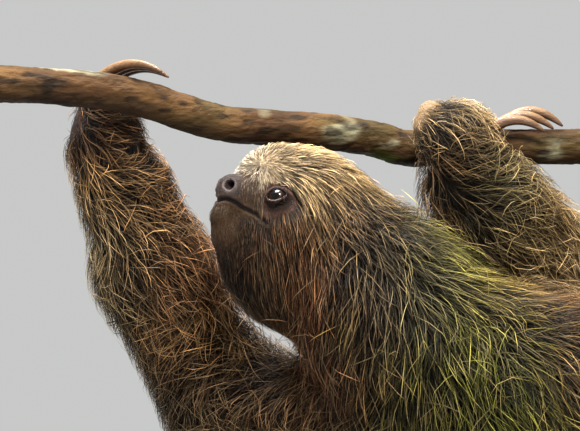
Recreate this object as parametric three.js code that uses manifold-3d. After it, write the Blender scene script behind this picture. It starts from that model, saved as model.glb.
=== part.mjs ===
// A brown-throated three-toed sloth, life size, as a still display model. It hangs below a cut length of
// branch, back half turned to the viewer, hands on the branch and the head turned upright to look along it.
// Two rods carry the branch above a flat base.
// Millimetres, +Z up, +X along the branch from the head end to the rump end, -Y towards the animal's back.
// The origin is the middle of the base's underside. The flesh solids have the outline of the coat.

import * as THREE from 'three';
import { mergeVertices } from 'three/addons/utils/BufferGeometryUtils.js';
import Module from 'manifold-3d';

const wasm = await Module();
wasm.setup();

// ---- Driving dimensions ----

const CUT = 0.4; // thin cut between two lengths of one limb or of the body
const CREASE = 0.8; // clearance where a limb leaves the trunk
const FIT = 0.4; // clearance round the branch and the eyes
const CLAW_FIT = 0.6; // clearance round the claws' roots

const BASE = { length: 740, depth: 300, height: 22, corner: 34, bevel: 3 };
const BRANCH_RADIUS = 10.5;
const ROD = { fromMiddle: 327, radius: 5, flange: 17, flangeHeight: 5, cup: 9, cupHeight: 20, seat: 0.5 };

const EYE = { radius: 5.6, depth: 4.4 };
const NOSTRIL_RADIUS = 2.2;
const MOUTH_GROOVE = 1.3;
const CLAW = { root: 3.3, flatness: 0.8, sides: 6, lengths: 6 };

// Size of a facet on each kind of surface
const CELL = { face: 6, head: 11.2, body: 24.5, arm: 20, leg: 20, hand: 13 };
const BLEND = { body: 26, throat: 12, jaw: 8, face: 6, limb: 14 };

// A joint of the animal: its centre and the coat's radius there
const joint = (x, y, z, radius) => ({ at: new THREE.Vector3(x, y, z), radius });

const HEAD = { at: new THREE.Vector3(-136, -8, 290), yaw: 28, pitch: 18 };
const NECK = [joint(-115, -2, 270, 45), joint(-77, -14, 228, 49.5)];
const SPINE = [
  joint(-48, -20, 195, 53),
  joint(13, -25, 171, 67),
  joint(90, -20, 147, 81),
  joint(162, -5, 134, 80),
  joint(216, 10, 141, 69),
  joint(248, 14, 148, 50),
];
const TAIL = [joint(282, 10, 130, 18), joint(318, 2, 106, 12)];

const ARM_LEFT = [
  joint(-60, -10, 165, 41),
  joint(-165, 58, 173, 38),
  joint(-211, 48, 254, 35),
  joint(-226.5, 39, 297, 26.5),
  joint(-239.5, 30, 326, 20.5),
  joint(-241, 28, 347, 13.5),
];
const ARM_RIGHT = [
  joint(-25, -15, 200, 42),
  joint(49, 90, 220.5, 35.5),
  joint(-21, 22, 285, 34),
  joint(-45, 0, 328, 20),
  joint(-29, 23, 332, 10.5),
];
const LEG_LEFT = [
  joint(230, 38, 132, 50),
  joint(218, 96, 214, 33),
  joint(268, 66, 296, 20),
  joint(266, 53, 328, 14),
];
const LEG_RIGHT = [
  joint(214, -20, 158, 50),
  joint(158, -68, 232, 32),
  joint(186, -6, 298, 20),
  joint(193, 14, 332, 14),
];
// Lumps beside the wrists: the heel of the left palm, and the coat that hangs from the right wrist
const PALM_LEFT = joint(-226, 26, 333, 9);
const CUFF_RIGHT = joint(-44, 8, 300, 20);

// The branch's centreline
const BRANCH = [
  [-348, -13, 354.5], [-293, -8, 356], [-260, -3, 354.5], [-228, 2, 351], [-195, 8, 342], [-172, 12, 335],
  [-149, 16, 333], [-123, 20, 331], [-103, 24, 329], [-86, 27, 326], [-72, 30, 322], [-50, 33, 321.5],
  [-10, 35, 322], [50, 36, 323], [106, 34, 325.5], [178, 32, 327], [250, 31, 328], [348, 30, 329],
].map((p) => new THREE.Vector3(...p));

// Each set of three claws: the first claw's root and tip, how far its middle rises above the straight line
// between them, and the steps from one claw's root and tip to the next claw's
const CLAWS = {
  hand_left: {
    root: [-247, 21, 353], tip: [-204, -12, 362.5], rise: 9,
    rootStep: [3.4, 7.2, -0.5], tipStep: [1.6, 7.4, -1.2],
  },
  hand_right: {
    root: [-25, 19, 330.5], tip: [7, 19, 330.5], rise: 6.5,
    rootStep: [6, 6.6, 3.2], tipStep: [5.5, 6.6, 1.6],
  },
  foot_left: {
    root: [258, 54, 335], tip: [264, 10, 322], rise: 19,
    rootStep: [8, 0, 0], tipStep: [8, 0, 0],
  },
  foot_right: {
    root: [186, 10, 335], tip: [194, 53, 321], rise: 18.5,
    rootStep: [8, 0, 0], tipStep: [8, 0, 0],
  },
};

// ---- Colours ----

const finish = (color, roughness, metalness = 0) =>
  new THREE.MeshStandardMaterial({ color, roughness, metalness });
const FINISH = {
  coat: finish(0x7a6647, 0.9),
  claw: finish(0xb98f64, 0.45),
  eye: finish(0x1c100a, 0.1),
  bark: finish(0x7d6146, 0.85),
  base: finish(0x3b2c22, 0.5),
  rod: finish(0x9a9a98, 0.35, 0.9),
};

// ---- Signed distances: negative inside, positive outside ----

const roundCone = (a, b) => {
  const along = b.at.clone().sub(a.at);
  const squared = along.lengthSq();
  return (p) => {
    const [x, y, z] = [p.x - a.at.x, p.y - a.at.y, p.z - a.at.z];
    const t = THREE.MathUtils.clamp((x * along.x + y * along.y + z * along.z) / squared, 0, 1);
    const away = Math.hypot(x - along.x * t, y - along.y * t, z - along.z * t);
    return away - THREE.MathUtils.lerp(a.radius, b.radius, t);
  };
};

const ball = (a) => (p) => p.distanceTo(a.at) - a.radius;

const chain = (joints) => joints.slice(1).map((next, i) => roundCone(joints[i], next));

const smoothUnion = (fields, blend) => (p) =>
  fields.reduce((sum, field) => {
    const d = field(p);
    const share = Math.max(blend - Math.abs(sum - d), 0) / blend;
    return Math.min(sum, d) - (share * share * blend) / 4;
  }, 1e6);

// ---- The head, shaped in a frame of its own: +X to the nose, +Y to the animal's left, +Z to the crown ----

const [sinYaw, cosYaw] = [Math.sin, Math.cos].map((f) => f(THREE.MathUtils.degToRad(HEAD.yaw)));
const [sinPitch, cosPitch] = [Math.sin, Math.cos].map((f) => f(THREE.MathUtils.degToRad(HEAD.pitch)));
const headFrame = new THREE.Matrix4()
  .makeBasis(
    new THREE.Vector3(-cosYaw * cosPitch, -sinYaw * cosPitch, sinPitch),
    new THREE.Vector3(sinYaw, -cosYaw, 0),
    new THREE.Vector3(cosYaw * sinPitch, sinYaw * sinPitch, cosPitch),
  )
  .setPosition(HEAD.at);
const intoHead = headFrame.clone().invert();

const onHead = (x, y, z, radius) => ({ at: new THREE.Vector3(x, y, z).applyMatrix4(headFrame), radius });

const headEllipsoid = (centre, radii) => {
  const [c, r] = [centre, radii].map((v) => new THREE.Vector3(...v));
  const [q, q2] = [new THREE.Vector3(), new THREE.Vector3()];
  return (p) => {
    q.copy(p).applyMatrix4(intoHead).sub(c).divide(r);
    q2.copy(q).divide(r);
    return (q.length() * (q.length() - 1)) / Math.max(q2.length(), 1e-9);
  };
};

const face = smoothUnion(
  [
    headEllipsoid([-8, 0, 1.5], [33, 34, 35.5]), // braincase
    headEllipsoid([8, 0, 4.5], [26, 21, 28]), // forehead and eyes
    roundCone(onHead(19, 0, -3, 17), onHead(31.5, 0, -5.5, 10)), // muzzle
    headEllipsoid([36.5, 0, -1.2], [5, 8, 6]), // nose
    roundCone(onHead(10, 0, -20, 18), onHead(34, 0, -17, 8.5)), // lower jaw
    roundCone(onHead(24, 0, -28, 12), onHead(16, 0, -42, 11.5)), // the throat's coat under the chin
    ball(onHead(0, 19, -13, 18)), // cheeks
    ball(onHead(0, -19, -13, 18)),
  ],
  BLEND.face,
);
const headField = smoothUnion([face, headEllipsoid([-14, 0, -25], [43, 38, 43])], BLEND.jaw);
const bodyField = smoothUnion([...chain(NECK), ...chain([NECK[1], ...SPINE]), ...chain(TAIL)], BLEND.body);
const coreField = smoothUnion([bodyField, headField], BLEND.throat);
const armLeftField = smoothUnion([...chain(ARM_LEFT), ball(PALM_LEFT)], BLEND.limb);
const armRightField = smoothUnion([...chain(ARM_RIGHT), ball(CUFF_RIGHT)], BLEND.limb);
const legLeftField = smoothUnion(chain(LEG_LEFT), BLEND.limb);
const legRightField = smoothUnion(chain(LEG_RIGHT), BLEND.limb);

// ---- From fields and geometries to solids and back ----

const slope = (field, p, step) => {
  const along = (x, y, z) => field(new THREE.Vector3(p.x + x, p.y + y, p.z + z));
  return new THREE.Vector3(
    along(step, 0, 0) - along(-step, 0, 0),
    along(0, step, 0) - along(0, -step, 0),
    along(0, 0, step) - along(0, 0, -step),
  ).divideScalar(2 * step);
};

const ontoSurface = (field, p, reach, rounds = 2) => {
  for (let round = 0; round < rounds; round++) {
    const g = slope(field, p, 0.3);
    p.addScaledVector(g, -THREE.MathUtils.clamp(field(p) / Math.max(g.lengthSq(), 0.1), -reach, reach));
  }
  return p;
};

// Grid lines from one value to another, closer together within a stretch
const gridLines = (from, to, cell, fine) => {
  const lines = [from];
  while (lines.at(-1) < to) {
    const inside = fine && lines.at(-1) > fine.from && lines.at(-1) < fine.to;
    lines.push(lines.at(-1) + (inside ? fine.cell : cell));
  }
  return lines;
};

// A closed net of quads over the field's zero surface, one vertex for each cell that the surface crosses.
// The outermost grid points count as outside.
function netOf(field, box, cell, fine = {}) {
  const lines = ['x', 'y', 'z'].map((axis) => gridLines(box.min[axis], box.max[axis], cell, fine[axis]));
  const n = lines.map((line) => line.length);
  const stride = [1, n[0], n[0] * n[1]];
  const on = (line, at) => THREE.MathUtils.lerp(line[Math.floor(at)], line[Math.ceil(at)], at % 1);
  const place = (...at) => new THREE.Vector3(...at.map((value, axis) => on(lines[axis], value)));
  const values = new Float64Array(n[0] * n[1] * n[2]);
  for (let k = 0; k < n[2]; k++)
    for (let j = 0; j < n[1]; j++)
      for (let i = 0; i < n[0]; i++) {
        const outermost = [i, j, k].some((at, axis) => at === 0 || at === n[axis] - 1);
        const value = field(place(i, j, k));
        values[i + j * stride[1] + k * stride[2]] = outermost ? Math.max(value, 1) : value;
      }

  const corners = [0, 1, 2, 3, 4, 5, 6, 7].map((c) => [c & 1, (c >> 1) & 1, (c >> 2) & 1]);
  const edges = corners.flatMap((a, i) =>
    corners.map((b, j) => [i, j]).filter(([, j]) => j > i && [1, 2, 4].includes(i ^ j)),
  );
  const points = [];
  const vertexOf = new Map();
  for (let k = 0; k < n[2] - 1; k++)
    for (let j = 0; j < n[1] - 1; j++)
      for (let i = 0; i < n[0] - 1; i++) {
        const home = i + j * stride[1] + k * stride[2];
        const value = corners.map(([a, b, c]) => values[home + a + b * stride[1] + c * stride[2]]);
        const middle = new THREE.Vector3();
        let crossings = 0;
        for (const [a, b] of edges) {
          if (value[a] < 0 === value[b] < 0) continue;
          const t = value[a] / (value[a] - value[b]);
          middle.add(new THREE.Vector3(...corners[a]).lerp(new THREE.Vector3(...corners[b]), t));
          crossings++;
        }
        if (!crossings) continue;
        vertexOf.set(home, points.length);
        middle.divideScalar(crossings);
        points.push(ontoSurface(field, place(i + middle.x, j + middle.y, k + middle.z), cell / 2));
      }

  const index = [];
  for (let k = 0; k < n[2] - 1; k++)
    for (let j = 0; j < n[1] - 1; j++)
      for (let i = 0; i < n[0] - 1; i++) {
        const home = i + j * stride[1] + k * stride[2];
        for (const axis of [0, 1, 2]) {
          const inside = values[home] < 0;
          if (inside === values[home + stride[axis]] < 0) continue;
          const [u, v] = [stride[(axis + 1) % 3], stride[(axis + 2) % 3]];
          const ring = [home - u - v, home - v, home, home - u].map((c) => vertexOf.get(c));
          if (!inside) ring.reverse();
          const [a, b, c, d] = ring;
          const shortWay = points[a].distanceTo(points[c]) < points[b].distanceTo(points[d]);
          index.push(...(shortWay ? [a, b, c, a, c, d] : [a, b, d, b, c, d]));
        }
      }
  const geometry = new THREE.BufferGeometry().setFromPoints(points);
  geometry.setIndex(index);
  return geometry;
}

function solidOf(geometry) {
  const bare = new THREE.BufferGeometry().setAttribute('position', geometry.getAttribute('position'));
  bare.setIndex(geometry.getIndex());
  const merged = mergeVertices(bare, 1e-3);
  return new wasm.Manifold(
    new wasm.Mesh({
      numProp: 3,
      vertProperties: new Float32Array(merged.attributes.position.array),
      triVerts: new Uint32Array(merged.index.array),
    }),
  );
}

function geometryOf(solid) {
  const { vertProperties, triVerts } = solid.getMesh();
  const geometry = new THREE.BufferGeometry();
  geometry.setAttribute('position', new THREE.BufferAttribute(vertProperties, 3));
  geometry.setIndex(new THREE.BufferAttribute(triVerts, 1));
  return geometry;
}

// A plane that keeps what lies on the side its normal points to, moved in by half a thin cut.
const planeAt = (at, towards) => {
  const normal = towards.clone().normalize();
  return { normal, offset: normal.dot(at) + CUT / 2 };
};
const turned = ({ normal, offset }) => ({ normal: normal.clone().negate(), offset: CUT - offset });

// The plane that parts two lengths of a limb at their joint, square to the way the limb runs there.
const planeAtJoint = (joints, i) => {
  const before = joints[i].at.clone().sub(joints[i - 1].at).normalize();
  const after = joints[i + 1].at.clone().sub(joints[i].at).normalize();
  return planeAt(joints[i].at, before.add(after));
};

const boxRound = (joints, margin) => {
  const box = new THREE.Box3();
  const size = new THREE.Vector3();
  for (const { at, radius } of joints)
    box.union(new THREE.Box3().setFromCenterAndSize(at, size.setScalar(2 * (radius + margin))));
  return box;
};

// The largest of the pieces that a cut has left
const largest = (solid) => solid.decompose().reduce((a, b) => (b.volume() > a.volume() ? b : a));

const trimmed = (solid, planes) =>
  planes.reduce((kept, { normal, offset }) => kept.trimByPlane(normal.toArray(), offset), solid);

// The part of a field's body that lies on the near side of each plane, as a solid.
function bodyPart(field, joints, planes, cell, fine) {
  const margin = 1.5 * cell;
  const beyond = ({ normal, offset }, p) => offset - margin - normal.dot(p);
  const kept = (p) => planes.reduce((d, plane) => Math.max(d, beyond(plane, p)), field(p));
  return trimmed(solidOf(netOf(kept, boxRound(joints, 2.5 * cell), cell, fine)), planes);
}

// ---- Claws, eyes and other small shapes ----

// A tapered round body along a curve: a lathe whose height is laid along the curve.
function taperedAlong(curve, radiusAt, sides, lengths, flatness = 1) {
  const profile = [new THREE.Vector2(0, 0)];
  for (let i = 0; i < lengths; i++) profile.push(new THREE.Vector2(radiusAt(i / lengths), i / lengths));
  profile.push(new THREE.Vector2(0, 1));
  const geometry = new THREE.LatheGeometry(profile, sides);
  const position = geometry.getAttribute('position');
  const chord = curve.getPoint(1).sub(curve.getPoint(0));
  const side = chord.clone().cross(curve.getPoint(0.4).sub(curve.getPoint(0))).normalize();
  for (let i = 0; i < position.count; i++) {
    const t = THREE.MathUtils.clamp(position.getY(i), 0, 1);
    const up = side.clone().cross(curve.getTangent(t)).normalize();
    const at = curve.getPoint(t);
    at.addScaledVector(side, position.getX(i) * flatness).addScaledVector(up, position.getZ(i));
    position.setXYZ(i, at.x, at.y, at.z);
  }
  return solidOf(geometry);
}

function clawSolid({ root, tip, rise, rootStep, tipStep }, number, swell = 0) {
  const from = new THREE.Vector3(...root).addScaledVector(new THREE.Vector3(...rootStep), number);
  const to = new THREE.Vector3(...tip).addScaledVector(new THREE.Vector3(...tipStep), number);
  const middle = from.clone().lerp(to, 0.5).add(new THREE.Vector3(0, 0, 2 * rise));
  from.addScaledVector(middle.clone().sub(from).normalize(), -swell);
  const curve = new THREE.QuadraticBezierCurve3(from, middle, to);
  const radiusAt = (t) => CLAW.root * Math.sqrt(1 - t * t * 0.98) + swell;
  return outward(taperedAlong(curve, radiusAt, CLAW.sides, CLAW.lengths, CLAW.flatness));
}

function outward(solid) {
  if (solid.volume() >= 0) return solid;
  const { vertProperties, triVerts, numProp } = solid.getMesh();
  for (let i = 0; i < triVerts.length; i += 3) triVerts.subarray(i, i + 3).reverse();
  return new wasm.Manifold(new wasm.Mesh({ numProp, vertProperties, triVerts }));
}

const tubeSolid = (curve, radius, sides, lengths) => solidOf(new THREE.ExtrudeGeometry(
  new THREE.Shape().absarc(0, 0, radius, 0, 2 * Math.PI, false),
  { steps: lengths, curveSegments: sides / 2, bevelEnabled: false, extrudePath: curve },
));

const sphereSolid = ({ at, radius }, round, rings) =>
  solidOf(new THREE.SphereGeometry(radius, round, rings).translate(at.x, at.y, at.z));

// The branch: a bent round bar, cut square at both ends.
const branchSolid = (swell = 0) => tubeSolid(new THREE.CatmullRomCurve3(BRANCH), BRANCH_RADIUS + swell, 10, 27);

// ---- The stand ----

function baseSolid() {
  const { length, depth, height, corner, bevel } = BASE;
  const [x, y] = [length / 2 - bevel, depth / 2 - bevel];
  const outline = new THREE.Shape();
  outline.moveTo(-x + corner, -y);
  outline.lineTo(x - corner, -y);
  outline.absarc(x - corner, -y + corner, corner, -Math.PI / 2, 0, false);
  outline.lineTo(x, y - corner);
  outline.absarc(x - corner, y - corner, corner, 0, Math.PI / 2, false);
  outline.lineTo(-x + corner, y);
  outline.absarc(-x + corner, y - corner, corner, Math.PI / 2, Math.PI, false);
  outline.lineTo(-x, -y + corner);
  outline.absarc(-x + corner, -y + corner, corner, Math.PI, 1.5 * Math.PI, false);
  const edge = { bevelThickness: bevel, bevelSize: bevel, bevelSegments: 1, curveSegments: 4 };
  const plate = new THREE.ExtrudeGeometry(outline, { depth: height - 2 * bevel, ...edge });
  return solidOf(plate.translate(0, 0, bevel));
}

// A turned rod with a flange on the base and a cup under the branch.
function rodSolid(side, branchRoom) {
  const x = side * ROD.fromMiddle;
  const above = new THREE.CatmullRomCurve3(BRANCH).getPoints(400).find((p) => p.x >= x);
  const foot = BASE.height + FIT;
  const top = above.z - ROD.seat;
  const profile = [
    [0, foot], [ROD.flange, foot],
    [ROD.flange, foot + ROD.flangeHeight], [ROD.radius, foot + ROD.flangeHeight + 4],
    [ROD.radius, top - ROD.cupHeight - 6], [ROD.cup, top - ROD.cupHeight],
    [ROD.cup, top], [0, top],
  ].map((p) => new THREE.Vector2(...p));
  const rod = solidOf(new THREE.LatheGeometry(profile, 12).rotateX(Math.PI / 2).translate(x, above.y, 0));
  return outward(rod).subtract(branchRoom);
}

// ---- Assembly ----

const group = new THREE.Group();
function addNode(name, solid, material) {
  const mesh = new THREE.Mesh(geometryOf(solid), material);
  mesh.name = name;
  group.add(mesh);
}

const branchRoom = branchSolid(FIT);
addNode('perch_branch', branchSolid(), FINISH.bark);
addNode('stand_base', baseSolid(), FINISH.base);
addNode('stand_rod_head_end', rodSolid(-1, branchRoom), FINISH.rod);
addNode('stand_rod_rump_end', rodSolid(1, branchRoom), FINISH.rod);

// Body, parted behind the jaw, at the shoulders and at the rump
const behindHead = planeAt(new THREE.Vector3(-112, -8, 258), new THREE.Vector3(-0.74, 0, 0.67));
const behindNeck = planeAt(new THREE.Vector3(-62, -16, 218), new THREE.Vector3(-0.72, 0, 0.69));
const beforeTail = planeAt(new THREE.Vector3(300, 6, 118), new THREE.Vector3(0.82, -0.18, -0.55));

const bodyNet = netOf(coreField, boxRound([...NECK, ...SPINE], 2 * CELL.body), CELL.body);
const body = solidOf(bodyNet);
addNode('neck', trimmed(body, [turned(behindHead), behindNeck]), FINISH.coat);
addNode('trunk', trimmed(body, [turned(behindNeck), turned(beforeTail)]), FINISH.coat);
addNode('tail', bodyPart(coreField, TAIL, [beforeTail], CELL.hand), FINISH.coat);

// Head, with its eyes sunk in sockets
const eyes = [1, -1].map((side) => {
  const surface = ontoSurface(coreField, onHead(17, 22 * side, -1.3, 0).at, 5, 4);
  return surface.addScaledVector(slope(coreField, surface, 0.3).normalize(), -EYE.depth);
});
const mouth = [[6, 22, -19], [16, 18, -15.5], [28, 10, -11.5], [37, 5, -9.5], [42, 0, -11]];
const lips = [...mouth, ...mouth.slice(0, -1).reverse().map(([x, y, z]) => [x, -y, z])]
  .map((p) => ontoSurface(coreField, onHead(...p, 0).at, 5, 4));
const fineFace = {
  x: { from: -182, to: -142, cell: CELL.face },
  y: { from: -48, to: 12, cell: CELL.face },
  z: { from: 264, to: 308, cell: CELL.face },
};
const headBox = [{ at: HEAD.at, radius: 50 }, { at: onHead(-14, 0, -25, 0).at, radius: 46 }];
const rooms = [
  ...eyes.map((at) => sphereSolid({ at, radius: EYE.radius + FIT }, 11, 7)),
  ...[5.5, -5.5].map((y) => sphereSolid(onHead(40, y, -2, NOSTRIL_RADIUS), 8, 6)),
  tubeSolid(new THREE.CatmullRomCurve3(lips), MOUTH_GROOVE, 5, 11),
  branchRoom,
];
const wholeHead = bodyPart(coreField, headBox, [behindHead], CELL.head, fineFace);
addNode('head', rooms.reduce((solid, room) => solid.subtract(room), wholeHead), FINISH.coat);
for (const [i, side] of ['left', 'right'].entries())
  addNode('eye_' + side, sphereSolid({ at: eyes[i], radius: EYE.radius }, 11, 7), FINISH.eye);

// Room that the body takes out of the limbs: the body's own net, moved out
const movedOut = bodyNet.clone();
for (let i = 0; i < movedOut.attributes.position.count; i++) {
  const p = new THREE.Vector3().fromBufferAttribute(movedOut.attributes.position, i);
  p.addScaledVector(slope(coreField, p, 0.3).normalize(), CREASE);
  movedOut.attributes.position.setXYZ(i, p.x, p.y, p.z);
}
const bodyRoom = solidOf(movedOut);

// Limbs, parted at the elbow or knee and at the wrist or ankle
const ARM = ['arm', 'upper', 'fore', 'hand'];
const LEG = ['leg', 'thigh', 'shin', 'foot'];
const LIMBS = [
  { side: 'left', parts: ARM, joints: ARM_LEFT, field: armLeftField },
  { side: 'right', parts: ARM, joints: ARM_RIGHT, field: armRightField },
  { side: 'left', parts: LEG, joints: LEG_LEFT, field: legLeftField },
  { side: 'right', parts: LEG, joints: LEG_RIGHT, field: legRightField },
];
for (const { side, parts: [limb, upper, lower, end], joints, field } of LIMBS) {
  const last = joints.length - 2;
  const [bend, wrist] = [1, last].map((i) => planeAtJoint(joints, i));
  const lengths = [joints.slice(0, 2), joints.slice(1, last + 1), joints.slice(last)];
  const upperSolid = bodyPart(field, lengths[0], [turned(bend)], CELL[limb]).subtract(bodyRoom);
  const lowerSolid = bodyPart(field, lengths[1], [bend, turned(wrist)], CELL[limb]);
  addNode(`${limb}_${side}_${upper}`, largest(upperSolid), FINISH.coat);
  addNode(`${limb}_${side}_${lower}`, largest(lowerSolid.subtract(branchRoom).subtract(bodyRoom)), FINISH.coat);
  const claws = CLAWS[`${end}_${side}`];
  const clawRooms = [0, 1, 2].map((i) => clawSolid(claws, i, CLAW_FIT));
  const endSolid = largest(bodyPart(field, lengths[2], [wrist], CELL.hand).subtract(branchRoom));
  addNode(`${end}_${side}`, clawRooms.reduce((solid, room) => solid.subtract(room), endSolid), FINISH.coat);
  for (const i of [0, 1, 2]) addNode(`claw_${end}_${side}_${i + 1}`, clawSolid(claws, i), FINISH.claw);
}

export default group;
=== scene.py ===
"""A life-size brown-throated three-toed sloth under a cut branch on a stand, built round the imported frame.

One closed skin is drawn out of a field of signed distances. The coat is made of thin solid locks rooted on
that skin, and both take their colours from one set of markings. The functions work in millimetres, in the
row frame: +Z up, +X along the branch from the head end to the rump end, -Y towards the animal's back.
"""

import math

import bpy
import numpy as np
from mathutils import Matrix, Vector, kdtree


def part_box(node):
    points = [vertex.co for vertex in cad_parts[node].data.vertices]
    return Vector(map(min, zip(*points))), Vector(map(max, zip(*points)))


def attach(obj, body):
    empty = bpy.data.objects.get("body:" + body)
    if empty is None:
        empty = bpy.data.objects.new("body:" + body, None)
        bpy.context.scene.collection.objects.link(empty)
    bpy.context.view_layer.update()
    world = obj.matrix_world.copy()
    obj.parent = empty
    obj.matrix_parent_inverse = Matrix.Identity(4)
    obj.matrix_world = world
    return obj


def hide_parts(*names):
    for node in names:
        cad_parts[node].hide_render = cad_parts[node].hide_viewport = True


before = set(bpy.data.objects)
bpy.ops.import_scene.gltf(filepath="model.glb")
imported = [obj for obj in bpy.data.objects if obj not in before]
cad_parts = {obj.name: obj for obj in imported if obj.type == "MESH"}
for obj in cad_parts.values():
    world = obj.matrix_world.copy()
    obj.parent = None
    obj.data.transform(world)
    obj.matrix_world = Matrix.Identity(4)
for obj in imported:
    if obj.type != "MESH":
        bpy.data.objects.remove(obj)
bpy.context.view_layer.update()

MM = 0.001
rng = np.random.default_rng(7)

# ---- Driving dimensions: centres and radii of the coat and of the skin under it ----

COAT_LAYER, SKIN_LAYER = 0, 1
HEAD_AT, HEAD_YAW, HEAD_PITCH = np.array([-136.0, -8, 290]), 28, 18
HEAD_REACH = 75  # how far from there the head goes

# Each joint: x, y, z, the coat's radius there and the skin's
NECK = [(-115, -2, 270, 45, 34.5), (-77, -14, 228, 49.5, 38)]
SPINE = [
    (-48, -20, 195, 53, 41), (13, -25, 171, 67, 53), (90, -20, 147, 81, 66), (162, -5, 134, 80, 65),
    (216, 10, 141, 69, 55), (248, 14, 148, 50, 37),
]
TAIL = [(282, 10, 130, 18, 11), (318, 2, 106, 12, 6)]
ARM_LEFT = [
    (-60, -10, 165, 41, 31), (-165, 58, 173, 38, 28), (-211, 48, 254, 35, 25.5),
    (-226.5, 39, 297, 26.5, 19), (-239.5, 30, 326, 20.5, 14), (-241, 28, 347, 13.5, 9.5),
]
ARM_RIGHT = [
    (-25, -15, 200, 42, 32), (49, 90, 220.5, 35.5, 26), (-21, 22, 285, 34, 24.5),
    (-45, 0, 328, 20, 13.5), (-29, 23, 332, 10.5, 8),
]
LEG_LEFT = [
    (230, 38, 132, 50, 38), (218, 96, 214, 33, 24), (268, 66, 296, 20, 14), (266, 53, 328, 14, 10),
]
LEG_RIGHT = [
    (214, -20, 158, 50, 38), (158, -68, 232, 32, 23), (186, -6, 298, 20, 14), (193, 14, 332, 14, 10),
]
PALM_LEFT = (-226, 26, 333, 9, 7)
CUFF_RIGHT = (-44, 8, 300, 20, 13.5)
HEEL_RIGHT = [(-60.5, -4, 333, 5.5), (-57.5, -4, 341, 6)]  # the bare pad on the right hand's heel

BRANCH = [
    (-348, -13, 354.5), (-293, -8, 356), (-260, -3, 354.5), (-228, 2, 351), (-195, 8, 342), (-172, 12, 335),
    (-149, 16, 333), (-123, 20, 331), (-103, 24, 329), (-86, 27, 326), (-72, 30, 322), (-50, 33, 321.5),
    (-10, 35, 322), (50, 36, 323), (106, 34, 325.5), (178, 32, 327), (250, 31, 328), (348, 30, 329),
]
BRANCH_RADIUS = 10.5

# How far round a joint two shapes run into one another
FACE_BLEND, RUFF_BLEND, BODY_BLEND, LIMB_BLEND, WRIST_BLEND = 6, 8, 26, 14, 10
COAT_NECK_BLEND, COAT_LIMB_BLEND, SKIN_NECK_BLEND, SKIN_LIMB_BLEND = 12, 4, 14, 18

CLAW_ROOT, CLAW_FLATNESS, CLAW_SIDES = 3.3, 0.8, 18
# Each set of claws: the first root and tip, the rise of the middle, the steps to the next root and tip
CLAWS = {
    "hand_left": ((-247, 21, 353), (-204, -12, 362.5), 9, (3.4, 7.2, -0.5), (1.6, 7.4, -1.2)),
    "hand_right": ((-25, 19, 330.5), (7, 19, 330.5), 6.5, (6, 6.6, 3.2), (5.5, 6.6, 1.6)),
    "foot_left": ((258, 54, 335), (264, 10, 322), 19, (8, 0, 0), (8, 0, 0)),
    "foot_right": ((186, 10, 335), (194, 53, 321), 18.5, (8, 0, 0), (8, 0, 0)),
}

FLESH = [
    "head", "neck", "trunk", "tail",
    "arm_left_upper", "arm_left_fore", "hand_left", "arm_right_upper", "arm_right_fore", "hand_right",
    "leg_left_thigh", "leg_left_shin", "foot_left", "leg_right_thigh", "leg_right_shin", "foot_right",
]

# ---- Vectors and noise ----


def unit(v):
    return v / np.maximum(np.linalg.norm(v, axis=-1, keepdims=True), 1e-9)


def dot(a, b):
    return np.sum(a * b, axis=-1, keepdims=True)


def norm(v):
    return np.linalg.norm(v, axis=1)


def clamp(v):
    return np.clip(v, 0, 1)


def ramp(x, start, end):
    """0 where x is at `start` or before it, rising to 1 at `end`."""
    return clamp((x - start) / (end - start))


def bell(x, width):
    """1 where x is 0, falling away over about `width` on each side."""
    return np.exp(-((x / width) ** 2))


def noise(points, scale, seed=0):
    """Smooth noise from -1 to 1 at each point, that changes over `scale` millimetres."""
    q = np.asarray(points) / scale + 31.7 * seed
    cell = np.floor(q).astype(np.int64)
    f = q - cell
    f = f * f * (3 - 2 * f)
    total = np.zeros(len(q))
    for corner in np.ndindex(2, 2, 2):
        c = cell + corner
        h = (c[:, 0] * 73856093) ^ (c[:, 1] * 19349663) ^ (c[:, 2] * 83492791)
        h = (h ^ (h >> 13)) * 1274126177
        value = ((h ^ (h >> 16)) & 0xFFFF) / 32767.5 - 1
        total += value * np.prod(np.where(corner, f, 1 - f), axis=1)
    return total


def catmull_rom(points, count):
    """`count` points along the centripetal Catmull-Rom curve through the given ones."""
    p = np.array(points, float)
    p = np.vstack([2 * p[0] - p[1], p, 2 * p[-1] - p[-2]])
    knots = np.concatenate([[0], np.cumsum(norm(np.diff(p, axis=0)) ** 0.5)])
    where = np.linspace(knots[1], knots[-2], count)
    i = np.clip(np.searchsorted(knots, where, side="right") - 1, 1, len(p) - 3)

    def lerp(a, b, ta, tb):
        t = ((where - ta) / (tb - ta))[:, None]
        return a + (b - a) * t

    k = [knots[i + n] for n in (-1, 0, 1, 2)]
    a, b, c = (lerp(p[i + n - 1], p[i + n], k[n], k[n + 1]) for n in range(3))
    return lerp(lerp(a, b, k[0], k[2]), lerp(b, c, k[1], k[3]), k[1], k[2])


# ---- Signed distances: negative inside, positive outside ----


def ball(x, y, z, radius):
    at = np.array([x, y, z])
    return lambda p: norm(p - at) - radius


def round_cone(a, b, radius_a, radius_b):
    a, b = np.array(a, float), np.array(b, float)
    along = b - a

    def field(p):
        away = p - a
        t = clamp(away @ along / (along @ along))
        return norm(away - t[:, None] * along) - (radius_a + t * (radius_b - radius_a))

    return field


def chain(joints, layer):
    """Round cones from joint to joint, with the radii of the coat or of the skin."""
    return [round_cone(a[:3], b[:3], a[3 + layer], b[3 + layer]) for a, b in zip(joints, joints[1:])]


def union(fields, blend):
    def field(p):
        total = fields[0](p)
        for other in fields[1:]:
            total = join(total, other(p), blend)
        return total

    return field


def join(a, b, blend):
    share = np.maximum(blend - np.abs(a - b), 0) / blend
    return np.minimum(a, b) - share * share * blend / 4


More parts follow.
